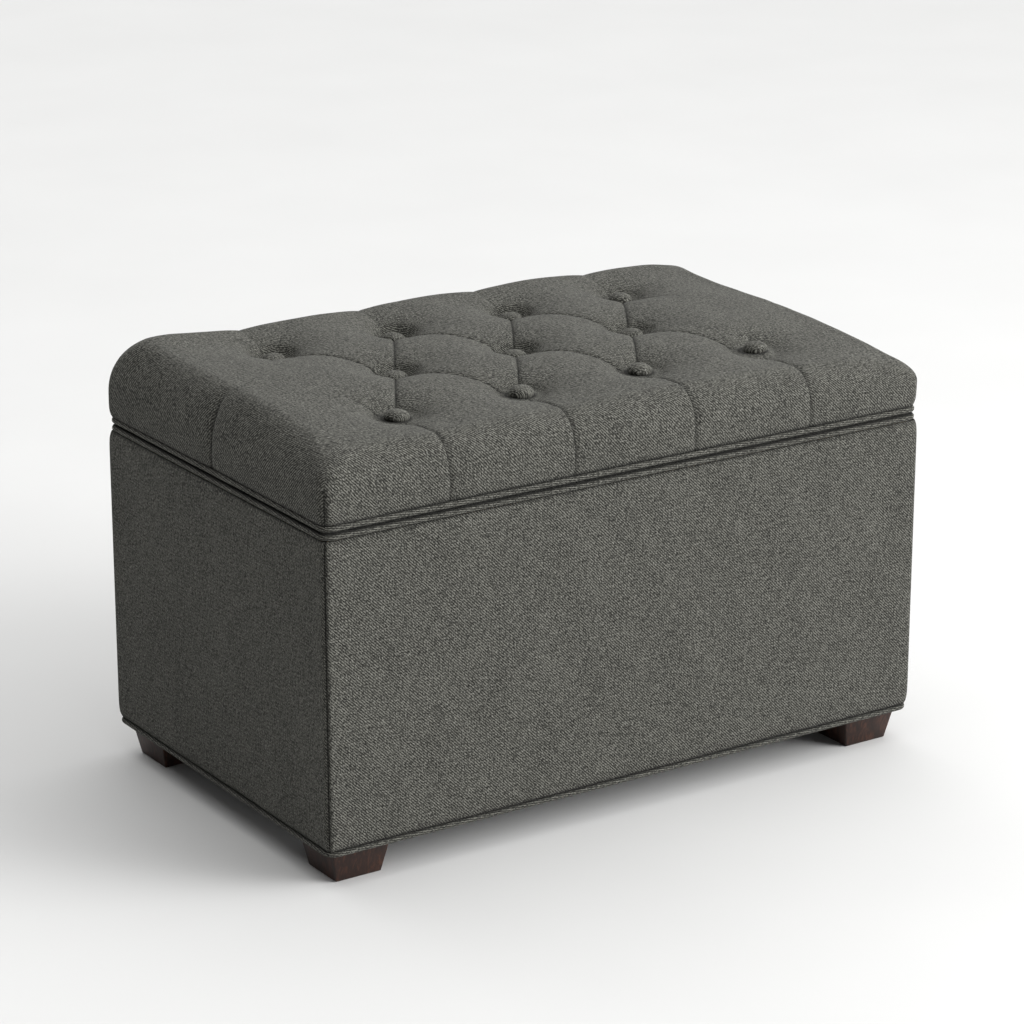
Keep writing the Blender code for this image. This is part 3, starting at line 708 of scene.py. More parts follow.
close_underside(lid_mesh)
lid_cushion = piece(lid_mesh, "lid", upholstery, "charcoal_fabric", "lid_cover", "lid_foam")
print("cushion has", len(lid_mesh.polygons), "faces")


# %% [markdown]
# ## Covered buttons
#
# A covered button is a shallow metal dome with cloth stretched over it. A half outline spun round
# the middle gives it, and the cloth's small gathers under the rim come from a ripple that grows
# towards the edge.

# %% Spin the buttons
# half of a button's outline: distance out as a share of its radius, and millimetres down
BUTTON_OUTLINE = (
    (0.0, 0.0),
    (0.30, -0.3),
    (0.56, -1.2),
    (0.77, -2.7),
    (0.91, -4.6),
    (0.98, -6.6),
    (1.0, -8.4),
    (0.95, -10.0),
    (0.80, -11.0),
    (0.0, -11.2),
)


def covered_button(name):
    """A spun dome with gathers in its edge, leaning a little, as hand-tied buttons do."""
    low, high = button_boxes[name]
    place = button_places[name]
    radius = (high[0] - low[0]) / 2 - 0.2 * MM
    top = high[2] + 1 * MM + row_shift(name)
    bm = bmesh.new()
    line = [bm.verts.new((share * radius, 0, z * MM)) for share, z in BUTTON_OUTLINE]
    for a, b in zip(line, line[1:]):
        bm.edges.new((a, b))
    bmesh.ops.spin(
        bm,
        geom=bm.verts[:] + bm.edges[:],
        cent=(0, 0, 0),
        axis=(0, 0, 1),
        angle=math.tau,
        steps=40,
        use_merge=True,
    )
    bmesh.ops.remove_doubles(bm, verts=bm.verts, dist=1e-6)
    outwards(bm)
    mesh = mesh_from(bm, f"{name}_covered")
    points = get_points(mesh)
    around_it = np.arctan2(points[:, 1], points[:, 0])
    out = np.clip(np.linalg.norm(points[:, :2], axis=1) / radius, 0, 1)
    ripple = 1 - 0.012 * out**6 * (1 + np.cos(20 * around_it))
    points[:, :2] *= ripple[:, None]
    seed = place[0] * 31 + place[1] * 17
    lean = Matrix.Rotation(0.06 * math.sin(seed), 3, "X")
    lean = lean @ Matrix.Rotation(0.06 * math.cos(2 * seed), 3, "Y")
    points = points @ np.array(lean).T
    verts, _ = loop_corners(mesh)
    twist = Matrix.Rotation(math.sin(seed * 3) * 0.5, 2)
    set_weave(mesh, points[verts][:, :2] @ np.array(twist) + place[:2])
    set_points(mesh, points + [place[0], place[1], top])
    return piece(mesh, "lid", lit_button_cloth, "charcoal_fabric", name)


buttons = [covered_button(name) for name in button_nodes]
print(len(buttons), "buttons")


# %% [markdown]
# ## The box's padded walls
#
# Four cloth panels are sewn together at the corners and pulled tight over foam. Each is a grid that
# bends round half of each corner. It stands proud between its seams and is drawn in where it meets
# the piping, the corners are grooved along the seam, and slow noise keeps it from looking machined.

# %% Box panels
BODY_CORNER = 7 * MM
PINCH = 3.6 * MM  # how far the piping draws the cloth in
GROOVE = 2.2 * MM  # how deep the corner seams lie
GATHERS = 0.28 * MM
SWELL = 0.75 * MM
box_low, box_high = corners_of("front_cover")
PANEL_LOW, PANEL_HIGH = box_low[2] - 0.6 * MM, box_high[2] + 0.6 * MM


def box_panel(side, own_half, next_half, turn, columns, rows, seed):
    """One wall's cloth, made facing the front and then turned to its own side."""
    bm = bmesh.new()
    bmesh.ops.create_grid(bm, x_segments=columns, y_segments=rows, size=0.5)
    mesh = mesh_from(bm, f"{side}_wall_cloth")
    unit = get_points(mesh)
    straight = own_half - BODY_CORNER
    reach = straight + BODY_CORNER * math.pi / 4
    across, up = (np.sign(t) * (1 - (1 - np.abs(t)) ** 1.6) for t in 2 * unit[:, :2].T)
    run = across * reach
    height = PANEL_LOW + (up + 1) / 2 * (PANEL_HIGH - PANEL_LOW)
    bend = np.clip((np.abs(run) - straight) / BODY_CORNER, 0, math.pi / 4)
    x = np.sign(run) * (np.minimum(np.abs(run), straight) + BODY_CORNER * np.sin(bend))
    out = next_half - BODY_CORNER + BODY_CORNER * np.cos(bend)
    lower, upper = height - PANEL_LOW, PANEL_HIGH - height
    to_seam = reach - np.abs(run)
    drawn = PINCH * (fade(lower, 5 * MM) + fade(upper, 5 * MM))
    groove = GROOVE * fade(to_seam, 1.7 * MM)
    place = np.stack([run, height, np.full_like(run, seed)], axis=1)
    gather = rough(place * (1, 0.25, 1), 11 * MM, seed)
    gathers = GATHERS * gather * (fade(lower, 9 * MM) + fade(upper, 9 * MM))
    swell = SWELL * (rough(place, 130 * MM, seed) - 0.5) * np.clip(to_seam / (30 * MM), 0, 1)
    inward = drawn + groove + gathers - swell
    x -= np.sign(run) * np.sin(bend) * inward
    out -= np.cos(bend) * inward
    verts, _ = loop_corners(mesh)
    set_weave(mesh, np.stack([run + seed, height], axis=1)[verts])
    points = np.stack([x, -out, height], axis=1)
    spin = np.array(Matrix.Rotation(turn, 3, "Z"))
    set_points(mesh, points @ spin.T + [MIDDLE[0], MIDDLE[1], 0])
    # painted shade along the corner seams, and at the top and bottom where the cloth meets the piping
    seam_shades = [fade(gap, 1.4 * MM) for gap in (to_seam, lower, upper)]
    set_painted_shade(mesh, np.max(seam_shades, axis=0))
    return mesh


def thicken(obj, thickness):
    """Gives a cloth its thickness, inwards from its face."""
    wall = obj.modifiers.new("cloth", "SOLIDIFY")
    wall.thickness = thickness
    wall.offset = -1


quarter = math.pi / 2
walls = (
    ("front", HALF_X, HALF_Y, 0, 190, 76, 0.0),
    ("right", HALF_Y, HALF_X, quarter, 120, 76, 1.3),
    ("back", HALF_X, HALF_Y, 2 * quarter, 190, 76, 2.7),
    ("left", HALF_Y, HALF_X, -quarter, 120, 76, 4.1),
)
for side, own_half, next_half, turn, columns, rows, seed in walls:
    mesh = box_panel(side, own_half, next_half, turn, columns, rows, seed)
    replaced = [f"{side}_cover"] + (["padding_wrap"] if side == "front" else [])
    panel = piece(mesh, "box", upholstery, "charcoal_fabric", *replaced)
    thicken(panel, 1.6 * MM)
print("four wall cloths")


# %% [markdown]
# ## Piping
#
# Piping is a cord inside a strip of the same cloth cut on the bias. A circle is pushed along the
# straights and spun round the corners, one operator for each stretch, and the two ends are merged.

# %% Sweep the piping
CORD_SHARE = 0.92  # a little thinner than in the frame, so that the cloth beside it shows


def swept_ring(node, name, stand):
    """A round cord along a rounded rectangle, from straight pushes and quarter spins."""
    low, high = corners_of(node)
    cord = (high[2] - low[2]) / 2
    half_x, half_y = (high - low)[:2] / 2 - cord + stand
    bend = CORNER - cord + stand
    cord *= CORD_SHARE
    middle = (low + high) / 2
    bm = bmesh.new()
    circle = bmesh.ops.create_circle(bm, segments=16, radius=cord)["verts"]
    bmesh.ops.rotate(bm, verts=circle, matrix=Matrix.Rotation(quarter, 3, "Y"))
    bmesh.ops.translate(bm, verts=circle, vec=(bend - half_x, -half_y, 0))
    front = bm.edges[:]
    way = Vector((1, 0, 0))
    centre = Vector((half_x - bend, bend - half_y, 0))
    lengths = (2 * (half_x - bend), 2 * (half_y - bend)) * 2
    for length in lengths:
        steps = max(8, round(length / (9 * MM)))
        for _ in range(steps):
            _, front = extruded(bm, front, way * (length / steps))
        spun = bmesh.ops.spin(
            bm, geom=front, cent=centre, axis=(0, 0, 1), angle=quarter, steps=8
        )["geom_last"]
        front = [g for g in spun if isinstance(g, bmesh.types.BMEdge)]
        way = Matrix.Rotation(quarter, 3, "Z") @ way
        next_length = lengths[1] if abs(way.y) > 0.5 else lengths[0]
        centre = centre + way * next_length
    bmesh.ops.remove_doubles(bm, verts=bm.verts, dist=0.01 * MM)
    outwards(bm)
    bmesh.ops.translate(bm, verts=bm.verts, vec=middle)
    return mesh_from(bm, name), middle, (half_x, half_y, bend, cord)


def ring_run(points, middle, half_x, half_y, bend):
    """How far round the ring each point lies, and its distance out from the cord's middle."""
    x, y = points[:, 0] - middle[0], points[:, 1] - middle[1]
    inner_x, inner_y = half_x - bend, half_y - bend
    long, short, arc = 2 * inner_x, 2 * inner_y, bend * quarter
    core_x, core_y = np.clip(x, -inner_x, inner_x), np.clip(y, -inner_y, inner_y)
    dx, dy = x - core_x, y - core_y
    out = np.hypot(dx, dy) - bend
    turn = np.arctan2(dy, dx)
    run = np.zeros(len(x))
    sides = (
        (-quarter, core_x + inner_x, 0, long),
        (0, core_y + inner_y, long + arc, short),
        (quarter, inner_x - core_x, long + short + 2 * arc, long),
        (2 * quarter, inner_y - core_y, 2 * long + short + 3 * arc, short),
    )
    for facing, along, start, length in sides:
        away = np.angle(np.exp(1j * (turn - facing)))
        own = (away > -quarter / 2 - 1e-9) & (away <= quarter / 2 + 1e-9)
        run = np.where(own, start + along + bend * away, run)
    return run, out, 2 * (long + short) + 4 * arc


def piping(node, body, stand):
    """The covered cord of one of the frame's welts, standing out from it by this much."""
    name = f"{node}_piping"
    mesh, middle, (half_x, half_y, bend, cord) = swept_ring(node, name, stand)
    points = get_points(mesh)
    run, out, total = ring_run(points, middle, half_x, half_y, bend)
    height = points[:, 2] - middle[2]
    around_cord = np.arctan2(height, out)
    verts, faces = loop_corners(mesh)
    first = np.searchsorted(faces, np.arange(faces.max() + 1))[faces]

    def unbroken(values, period):
        """Values at face corners, each within half a period of its face's first one."""
        return values + period * np.round((values[first] - values) / period)

    u, w = unbroken(run[verts], total), unbroken(around_cord[verts], math.tau)
    bias = np.array(Matrix.Rotation(math.radians(38), 2))
    set_weave(mesh, np.stack([u, w * cord], axis=1) @ bias)
    swell = 0.16 * MM * rough(np.outer(run, [1, 0, 0]), 20 * MM, middle[2])
    points += get_normals(mesh) * swell[:, None]
    set_points(mesh, points)
    # painted shade where the cord meets the cloth above and below it, deeper on its lower side for the
    # lid's piping and on its upper side for the others
    between = -height if node == "lid_welt" else height
    piping_shade = np.maximum(np.abs(height) / cord - 0.75, (between / cord - 0.45) * 0.8)
    set_painted_shade(mesh, piping_shade / 0.25 * 0.8)
    return piece(mesh, body, upholstery, "charcoal_fabric", node)


for node, body, stand in (
    ("lid_welt", "lid", 0.3 * MM),
    ("body_welt", "box", 0.3 * MM),
    ("base_welt", "box", 1.2 * MM),
):
    made = piping(node, body, stand)
    print(made.name, len(made.data.polygons), "faces")


# %% [markdown]
# ## Feet in stained wood
#
# The feet are square blocks that taper towards the floor, stained nearly black with a little brown
# left in the light parts of the grain. Long, thin noise makes the grain, and the clear coat on top
# is satin. The taper is one scale of the lower face, and a small bevel takes the sharpness off.

# %% Espresso wood and the feet
def espresso_wood():
    wood = Finish("espresso_wood", Roughness=0.5, Coat_Weight=0.08, Coat_Roughness=0.4)
    wood.shader.inputs["Specular IOR Level"].default_value = 0.3
    place = wood.solid()
    grain = wood.streaks(place, (22, 30, 4), 8, detail=6, distortion=1.1)
    pores = wood.streaks(place, (90, 110, 9), 12, detail=3)
    worn = wood.streaks(place, (6, 6, 3), 4)
    figure = grain * 0.75 + pores * 0.25
    colour = wood.ramp(
        figure,
        (0.30, (0.0075, 0.0032, 0.0019)),
        (0.50, (0.019, 0.0072, 0.0042)),
        (0.64, (0.048, 0.0175, 0.0095)),
        (0.80, (0.080, 0.032, 0.017)),
    )
    wood.relief(figure, 0.25 * MM, 0.35)
    return wood.drive(Base_Color=colour, Roughness=worn * 0.25 + 0.42)


def tapered_foot(node, wood):
    """A cube made narrower at its lower end, then stretched to the foot's box."""
    low, high = corners_of(node)
    bm = bmesh.new()
    bmesh.ops.create_cube(bm, size=1)
    lower = [v for v in bm.verts if v.co.z < 0]
    bmesh.ops.scale(bm, verts=lower, vec=(FOOT_TAPER, FOOT_TAPER, 1))
    bmesh.ops.scale(bm, verts=bm.verts, vec=high - low)
    bmesh.ops.translate(bm, verts=bm.verts, vec=(low + high) / 2)
    bevel(bm, bm.edges[:], 1.3 * MM, 3)
    mesh = mesh_from(bm, f"{node}_block")
    piece(mesh, "box", wood, "espresso_wood", node)
    mesh.set_sharp_from_angle(angle=math.radians(40))


FOOT_TAPER = 0.79  # width of the lower end against the upper
espresso = espresso_wood()
for node in sorted(frame["nodes"]):
    if node.endswith("_foot"):
        tapered_foot(node, espresso)
print("four feet, tapered to", FOOT_TAPER)


# %% [markdown]
# ## Wood, foam, cloth and metal on the frame's own pieces
#
# The boards, posts, hinges, stays and bolts already have their shape in the frame, so they keep it and
# only get a finish: pale wood, brass, zinc or black metal. Each has one material slot in the frame's
# record, so a table from slot to material finishes them all in one loop. The foam's nodes stay hidden
# under the cloth, and the black cloth's material stands in for it.

# %% Finishes for the carried-over pieces
def pale_wood(name, dark, middling, light, stretch):
    wood = Finish(name, Roughness=0.62)
    place = wood.solid()
    grain = wood.streaks(place, stretch, 6, detail=5, distortion=0.6)
    specks = wood.streaks(place, (60, 60, 240), 5)
    figure = grain * 0.8 + specks * 0.2
    colour = wood.ramp(figure, (0.25, dark), (0.5, middling), (0.8, light))
    wood.relief(figure, 0.15 * MM, 0.3)
    return wood.drive(Base_Color=colour)


def metal_finish(name, colour, roughness):
    metal = Finish(name, Metallic=1.0, Roughness=roughness)
    place = metal.solid()
    smudge = metal.noise(place, 60, detail=4)
    fine = metal.streaks(place, (40, 900, 900))
    dark = [c * 0.7 for c in colour]
    tone = metal.ramp(smudge, (0.3, dark), (0.7, colour))
    # painted shade from the points' shade attribute: it darkens the screws' crosses and rims
    tone = metal.mix((metal.fold() * 0.9).clamped(), tone, (0.01, 0.009, 0.008, 1))
    metal.relief(fine, 0.04 * MM, 0.25)
    return metal.drive(Base_Color=tone, Roughness=smudge * 0.3 + (roughness - 0.12))


def black_cloth_finish():
    cloth = Finish("black_lining_cloth", Roughness=0.95, Sheen_Weight=0.2)
    place = cloth.solid()
    fibre = cloth.noise(place, 700, detail=3)
    figure = fibre * 0.8 + cloth.noise(place, 14) * 0.2
    colour = cloth.ramp(figure, (0.3, (0.010, 0.010, 0.011)), (0.75, (0.035, 0.035, 0.037)))
    cloth.relief(fibre, 0.3 * MM, 0.5)
    return cloth.drive(Base_Color=colour)


birch_tones = (0.33, 0.22, 0.12), (0.50, 0.36, 0.21), (0.62, 0.48, 0.31)
pine_tones = (0.42, 0.22, 0.09), (0.60, 0.40, 0.20), (0.70, 0.52, 0.30)
plywood = pale_wood("birch_plywood", *birch_tones, stretch=(3, 3, 26))
pine = pale_wood("pine_blocks", *pine_tones, stretch=(22, 22, 2.5))
brass = metal_finish("antique_brass", (0.36, 0.26, 0.13), 0.38)
zinc = metal_finish("zinc_plate", (0.60, 0.60, 0.58), 0.34)
black_metal = metal_finish("black_stay_metal", (0.055, 0.055, 0.058), 0.42)
black_cloth = black_cloth_finish()
finishes = {
    "plywood": plywood,
    "pine": pine,
    "foam": black_cloth,
    "black_cloth": black_cloth,
    "zinc_steel": zinc,
    "antique_brass": brass,
    "black_steel": black_metal,
    "espresso_wood": espresso,
    "charcoal_fabric": upholstery,
}
for part in frame["record"]["subparts"]:
    node = frame["nodes"][part["node"]]
    node.data.materials.clear()
    node.data.materials.append(finishes[part["material_slot"]])


# %% [markdown]
# ## Inside: turned-over cloth, lining and the cloths underneath
#
# With the lid open, the box shows its charcoal cloth turned over the rim and a black lining below
# it, and the lid shows the charcoal cloth pulled under the board with a black cloth stapled over its
# raw edge. Rounded and cut-corner outlines start as one rectangle whose corners are bevelled, and
# two such outlines are bridged into a flat band.

# %% Outlines and bands
def outline(bm, low, high, z, inset, corner, segments):
    """A closed outline round a box's plan, inset from it, with rounded or cut corners."""
    others = set(bm.faces)
    made = bmesh.ops.create_grid(bm, x_segments=1, y_segments=1, size=0.5)["verts"]
    size = Vector((high[0] - low[0] - 2 * inset, high[1] - low[1] - 2 * inset, 1))
    middle = Vector(((low[0] + high[0]) / 2, (low[1] + high[1]) / 2, z))
    bmesh.ops.scale(bm, verts=made, vec=size)
    bmesh.ops.translate(bm, verts=made, vec=middle)
    bevel(bm, made, corner, segments, affect="VERTICES")
    return next(face for face in bm.faces if face not in others)


def band(bm, outer, inner):
    """Bridges two outlines and removes the faces that filled them."""
    edges = [*outer.edges, *inner.edges]
    bmesh.ops.delete(bm, geom=[outer, inner], context="FACES_ONLY")
    bmesh.ops.bridge_loops(bm, edges=edges)


def plan_weave(mesh):
    """Thread coordinates of a level strip with an upright lip, which continues them."""
    verts, _ = loop_corners(mesh)
    points = get_points(mesh)[verts]
    set_weave(mesh, points[:, :2] + points[:, 2:])


lining_low, lining_high = corners_of("storage_lining")
board_low, board_high = corners_of("lid_board")
_, panel_high = corners_of("front_panel")
RIM_Z = panel_high[2] + 0.2 * MM
LINING_WALL = 1.5 * MM
CUT_CORNER = 32.6 * MM
print(f"rim at {RIM_Z:.4f} m, lining from {lining_low[2]:.4f} to {lining_high[2]:.4f} m")


# %% Cloth turned over the rim of the box
RIM_LIP = 7.5 * MM


def rim_wrap():
    """A level strip from under the piping to the lining, and its lip that hangs inside."""
    bm = bmesh.new()
    outer = outline(bm, board_low, board_high, RIM_Z, -4.2 * MM, 8 * MM, 4)
    inner = outline(bm, lining_low, lining_high, RIM_Z, LINING_WALL + 1 * MM, CUT_CORNER, 1)
    lip = list(inner.edges)
    band(bm, outer, inner)
    for drop in (0.8 * MM, RIM_LIP):
        _, lip = extruded(bm, lip, (0, 0, -drop))
    bmesh.ops.remove_doubles(bm, verts=bm.verts, dist=0.01 * MM)
    outwards(bm)
    return mesh_from(bm, "rim_cloth")


wrap_mesh = rim_wrap()
plan_weave(wrap_mesh)
rim_cloth = piece(wrap_mesh, "box", upholstery, "charcoal_fabric", smooth=False)


# %% The black lining
TUB_ROWS = 24


def lining_tub():
    """An eight-sided tub of cloth: a floor, a rounded turn and upright walls."""
    bm = bmesh.new()
    base = lining_low[2] + LINING_WALL
    floor = outline(bm, lining_low, lining_high, base, LINING_WALL, CUT_CORNER, 1)
    edges = list(floor.edges)
    height = RIM_Z - 5 * MM - base
    for _ in range(TUB_ROWS):
        _, edges = extruded(bm, edges, (0, 0, height / TUB_ROWS))
    turns = [e for e in bm.edges if all(abs(v.co.z - base) < 1e-6 for v in e.verts)]
    bevel(bm, turns, 4 * MM, 3)
    level = [e for e in bm.edges if abs((e.verts[0].co - e.verts[1].co).z) < 1e-6]
    long = [e for e in level if e.calc_length() > 80 * MM and e.verts[0].co.z > base + 2 * MM]
    bmesh.ops.subdivide_edges(bm, edges=long, cuts=30, use_grid_fill=True)
    outwards(bm)
    bmesh.ops.reverse_faces(bm, faces=bm.faces)
    return mesh_from(bm, "storage_lining_cloth")


tub_mesh = lining_tub()
points = get_points(tub_mesh)
high_up = (points[:, 2] - lining_low[2]) / (RIM_Z - lining_low[2])
slack = np.sin(np.clip(high_up, 0, 1) * math.pi) ** 0.5
wave = 0.5 + 0.5 * rough(points * (1, 1, 0.45), 50 * MM, 6.2)
lining_size = (lining_high - lining_low)[:2]
smaller = 1 - (0.9 * MM * slack * wave)[:, None] / (lining_size / 2 - LINING_WALL)
points[:, :2] = (points[:, :2] - MIDDLE[:2]) * smaller + MIDDLE[:2]
set_points(tub_mesh, points)
lining = piece(tub_mesh, "box", black_cloth, "black_cloth", "storage_lining")
tub_mesh.set_sharp_from_angle(angle=math.radians(30))
thicken(lining, 0.8 * MM)
WALL_CUT = 324 * MM  # height of a wall's cloth
CORNER_SHARE = 0.3  # how much shorter a cut corner makes the way round, for each of its ends
wall_area = (2 * lining_size.sum() - 8 * CORNER_SHARE * CUT_CORNER) * WALL_CUT
lining_area = wall_area + lining_size.prod() - 2 * CUT_CORNER**2
print(f"lining of {lining_area:.3f} square metres")


# %% Flat cloths and staples
def flat_cloth(name, node, body, seed):
    """A stretched black cloth with slow ripples, in the place of one of the frame's nodes."""
    low, high = corners_of(node)
    bm = bmesh.new()
    bmesh.ops.create_grid(bm, x_segments=90, y_segments=56, size=0.5)
    bmesh.ops.scale(bm, verts=bm.verts, vec=(high[0] - low[0], high[1] - low[1], 1))
    where = ((low[0] + high[0]) / 2, (low[1] + high[1]) / 2, high[2] - 0.15 * MM)
    bmesh.ops.translate(bm, verts=bm.verts, vec=where)
    mesh = mesh_from(bm, name)
    points = get_points(mesh)
    edge = np.minimum(points - low, high - points)[:, :2].min(axis=1)
    points[:, 2] += 0.22 * MM * rough(points, 45 * MM, seed) * np.clip(edge / (20 * MM), 0, 1)
    set_points(mesh, points)
    made = piece(mesh, body, black_cloth, "black_cloth", node)
    thicken(made, 0.35 * MM)


STAPLE = (10 * MM, 0.9 * MM, 0.24 * MM)
STAPLE_INSET = 6 * MM
STAPLE_GAP = 42 * MM
STAPLE_SPIN = Matrix.Rotation(math.pi / 2, 3, "Z")


def staple_spots(low, high):
    """Where the staples go, along the front and back edges and then along the ends."""
    for axis in (0, 1):
        length = high[axis] - low[axis] - 4 * STAPLE_INSET
        count = round(length / STAPLE_GAP)
        for step in range(count + 1):
            along = low[axis] + 2 * STAPLE_INSET + length * step / count
            for edge in (low[1 - axis] + STAPLE_INSET, high[1 - axis] - STAPLE_INSET):
                yield (along, edge) if axis == 0 else (edge, along)


def staples(name, node, body, holes):
    """Flat wire staples just inside the edge of a cloth, except at the holes' rectangles."""
    low, high = corners_of(node)
    bm = bmesh.new()
    for number, (x, y) in enumerate(staple_spots(low, high)):
        if any(abs(x - hx) < half_x and abs(y - hy) < half_y for hx, half_x, hy, half_y in holes):
            continue
        wire = bmesh.ops.create_cube(bm, size=1)["verts"]
        bmesh.ops.scale(bm, verts=wire, vec=STAPLE)
        if min(x - low[0], high[0] - x) < 1.5 * STAPLE_INSET:
            bmesh.ops.rotate(bm, verts=wire, matrix=STAPLE_SPIN)
        turn = Matrix.Rotation(0.12 * math.sin(number * 2.3), 3, "Z")
        bmesh.ops.rotate(bm, verts=wire, matrix=turn)
        bmesh.ops.translate(bm, verts=wire, vec=(x, y, low[2] + 0.16 * MM))
    bevel(bm, bm.edges[:], 0.08 * MM, 1)
    mesh = mesh_from(bm, name)
    print(name, len(mesh.polygons) // 26, "staples")
    piece(mesh, body, zinc, "zinc_steel", smooth=False)


print("flat cloth and staple helpers ready")


# %% Cloth under the lid and under the box
under_low, under_high = corners_of("lid_underside_cloth")


def lid_border():
    """A level strip of the upholstery, from the lid's edge to under the black cloth."""
    bm = bmesh.new()
    z = board_low[2] - 0.15 * MM
    outer = outline(bm, board_low, board_high, z, -4 * MM, 8 * MM, 4)
    inner = outline(bm, under_low, under_high, z, 10 * MM, 1 * MM, 4)
    band(bm, outer, inner)
    outwards(bm)
    if bm.faces[:][0].normal.z > 0:
        bmesh.ops.reverse_faces(bm, faces=bm.faces)
    return mesh_from(bm, "lid_border_cloth")


border_mesh = lid_border()
plan_weave(border_mesh)
border = piece(border_mesh, "lid", upholstery, "charcoal_fabric", smooth=False)


def holes_at(nodes, half_x, half_y):
    """The rectangles over some nodes where nothing is stapled: middle and half size, x then y."""
    middles = [sum(corners_of(node)) / 2 for node in nodes]
    return [(middle[0], half_x, middle[1], half_y) for middle in middles]


leaves = [f"{side}_hinge_lid_leaf" for side in ("left", "right")]
feet = [node for node in frame["nodes"] if node.endswith("_foot")]
flat_cloth("lid_underside_lining", "lid_underside_cloth", "lid", 2.2)
staples("lid_staples", "lid_underside_cloth", "lid", holes_at(leaves, 38 * MM, 22 * MM))
flat_cloth("dust_cloth", "dust_cover", "box", 5.5)
staples("dust_cloth_staples", "dust_cover", "box", holes_at(feet, 40 * MM, 40 * MM))


# %% [markdown]
# ## Screws in the hinges
#
# The hinge leaves are screwed on with small cross-head screws that sit nearly flush. A disc is cut
# by planes along the arms of the cross, and the faces between the cuts are pushed down. The cross
# and the rim are too shallow to shade themselves, so a point attribute darkens them.

# %% Cross-head screws
HEAD_RADIUS = 2.8 * MM
ARM, REACH = 0.4 * MM, 1.7 * MM  # half the width and half the length of the cross
HEAD_STANDS = 0.12 * MM
HALF_GAP = 0.2 * MM  # half the gap between two closed leaves


def screw_head(bm, place, facing, turn):
    """A screw's head at a place, looking up (1) or down (-1), with its cross turned."""
    dark = bm.verts.layers.float.get("fold") or bm.verts.layers.float.new("fold")
    own = bmesh.ops.create_circle(bm, cap_ends=True, segments=20, radius=HEAD_RADIUS)["verts"]
    geom = own + list(dict.fromkeys(e for v in own for e in v.link_edges))
    geom += list(dict.fromkeys(f for v in own for f in v.link_faces))
    for normal in (Vector((1, 0, 0)), Vector((0, 1, 0))):
        for distance in (-REACH, -ARM, ARM, REACH):
            geom = bmesh.ops.bisect_plane(
                bm, geom=geom, dist=1e-7, plane_co=normal * distance, plane_no=normal
            )["geom"]
    cross = []
    for face in geom:
        if isinstance(face, bmesh.types.BMFace):
            x, y, _ = (abs(c) for c in face.calc_center_median())
            if min(x, y) < ARM and max(x, y) < REACH:
                cross.append(face)
    rim = [e for e in geom if isinstance(e, bmesh.types.BMEdge) and e.is_boundary]
    whole = dict.fromkeys(v for g in geom for v in getattr(g, "verts", ()))
    sunk = bmesh.ops.extrude_face_region(bm, geom=cross)["geom"]
    bmesh.ops.delete(bm, geom=cross, context="FACES")
    down = [g for g in sunk if isinstance(g, bmesh.types.BMVert)]
    bmesh.ops.translate(bm, verts=down, vec=(0, 0, -0.07 * MM))
    edge, _ = extruded(bm, rim, (0, 0, -0.3 * MM))
    bmesh.ops.scale(bm, verts=edge, vec=(1.16, 1.16, 1))
    for vert in down + edge:
        vert[dark] = 1.0
    whole = [v for v in whole if v.is_valid] + down + edge
    tip = Matrix.Rotation(0 if facing > 0 else math.pi, 3, "X")
    bmesh.ops.rotate(bm, verts=whole, matrix=tip @ Matrix.Rotation(turn, 3, "Z"))
    bmesh.ops.translate(bm, verts=whole, vec=place)


def leaf_screws(node, body, facing):
    """Three screws in a hinge's leaf, the middle one set nearer the box's front."""
    low, high = corners_of(node)
    leaf_surface = (low[2] + high[2]) / 2 - facing * HALF_GAP
    bm = bmesh.new()
    for number, share in enumerate((0.14, 0.5, 0.86)):
        x = low[0] + (high[0] - low[0]) * share
        y = low[1] + (6 + 5 * (number % 2)) * MM
        place = Vector((x, y, leaf_surface + facing * HEAD_STANDS))
        screw_head(bm, place, facing, 0.7 * number + x * 9)
    piece(mesh_from(bm, f"{node}_screws"), body, brass, "antique_brass", smooth=False)


for side in ("left", "right"):
    leaf_screws(f"{side}_hinge_body_leaf", "box", 1)
    leaf_screws(f"{side}_hinge_lid_leaf", "lid", -1)
print("screws in four leaves")


# %% [markdown]
# ## Floor, light and camera
#
# A plain pale floor; a broad sun and a big near lamp from the front right, a very wide sun from above
# and a weak one from behind. The sky is pale to the camera but gives the bench only a little light,
# so that the folds keep their shading. The camera has a long lens, a little above the lid, and looks
# across the front left corner.

# %% Stage
def pale_floor():
    floor = Finish("pale_floor", Roughness=0.9)
    floor.shader.inputs["Specular IOR Level"].default_value = 0.1
    speck = floor.noise(floor.solid(), 3, detail=2)
    colour = floor.ramp(speck, (0.3, (0.60, 0.60, 0.595)), (0.7, (0.615, 0.615, 0.61)))
    return floor.drive(Base_Color=colour)


bm = bmesh.new()
bmesh.ops.create_grid(bm, x_segments=1, y_segments=1, size=30)
studio_floor = new_object("studio_floor", mesh_from(bm, "studio_floor"))
studio_floor.data.materials.append(pale_floor())
print("floor", studio_floor.dimensions.x, "m wide")


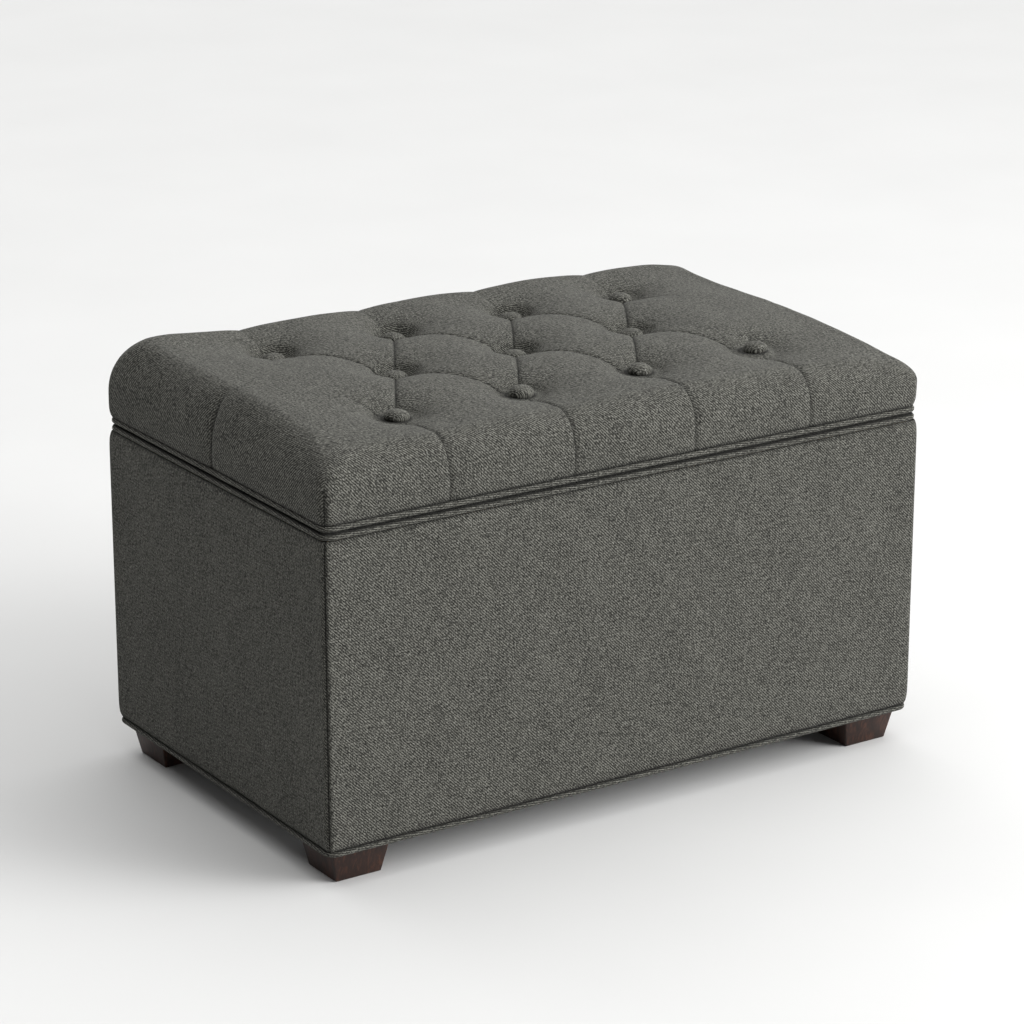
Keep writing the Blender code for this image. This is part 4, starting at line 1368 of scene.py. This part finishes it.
# %% Sky
SKY_SEEN, SKY_FILL = 0.88, 0.18
sky = bpy.data.worlds.new("studio_sky")
sky.use_nodes = True
seen = sky.node_tree.nodes["Background"]
fill = sky.node_tree.nodes.new("ShaderNodeBackground")
for shade, strength in ((seen, SKY_SEEN), (fill, SKY_FILL)):
    shade.inputs["Color"].default_value = (1, 1, 1, 1)
    shade.inputs["Strength"].default_value = strength
choice = sky.node_tree.nodes.new("ShaderNodeMixShader")
rays = sky.node_tree.nodes.new("ShaderNodeLightPath")
links = sky.node_tree.links
links.new(rays.outputs["Is Camera Ray"], choice.inputs[0])
links.new(fill.outputs[0], choice.inputs[1])
links.new(seen.outputs[0], choice.inputs[2])
links.new(choice.outputs[0], sky.node_tree.nodes["World Output"].inputs["Surface"])
bpy.context.scene.world = sky
print("sky seen at", SKY_SEEN, "and lighting at", SKY_FILL)


# %% Lamps and camera
MIDDLE_HEIGHT = 250 * MM  # of the bench's middle, which the round lamp points at


def lamp(name, kind, towards, power):
    """A lamp that shines at the bench from a direction."""
    light = bpy.data.lights.new(name, kind)
    light.energy = power
    made = new_object(name, light)
    made.rotation_euler = Vector(towards).to_track_quat("Z", "Y").to_euler()
    return made


def sun_light(name, towards, power, spread):
    lamp(name, "SUN", towards, power).data.angle = math.radians(spread)


def round_lamp(name, towards, distance, width, power):
    """A big round soft lamp; being near, it lights the nearer end of the bench more."""
    made = lamp(name, "AREA", towards, power)
    made.data.shape = "DISK"
    made.data.size = width
    made.location = Vector(towards).normalized() * distance + Vector((0, 0, MIDDLE_HEIGHT))
    made.visible_camera = False


sun_light("key_light", (0.62, -0.78, 0.30), 1.65, 36)
round_lamp("side_light", (0.72, -0.70, 0.36), 4.4, 3.0, 182)
sun_light("top_light", (0.27, 0.1, 1.0), 3.0, 100)
sun_light("back_light", (0.1, 0.9, 0.4), 0.6, 60)
bpy.context.scene.view_settings.view_transform = "Standard"
camera = new_object("camera", bpy.data.cameras.new("camera"))
camera.data.lens = 128.1
camera.data.sensor_width = 36
camera.location = (-2.1054, -3.175, 1.5515)
camera.rotation_euler = (math.radians(71.48), 0, math.radians(-33.52))
bpy.context.scene.camera = camera
print("four lights and a camera")
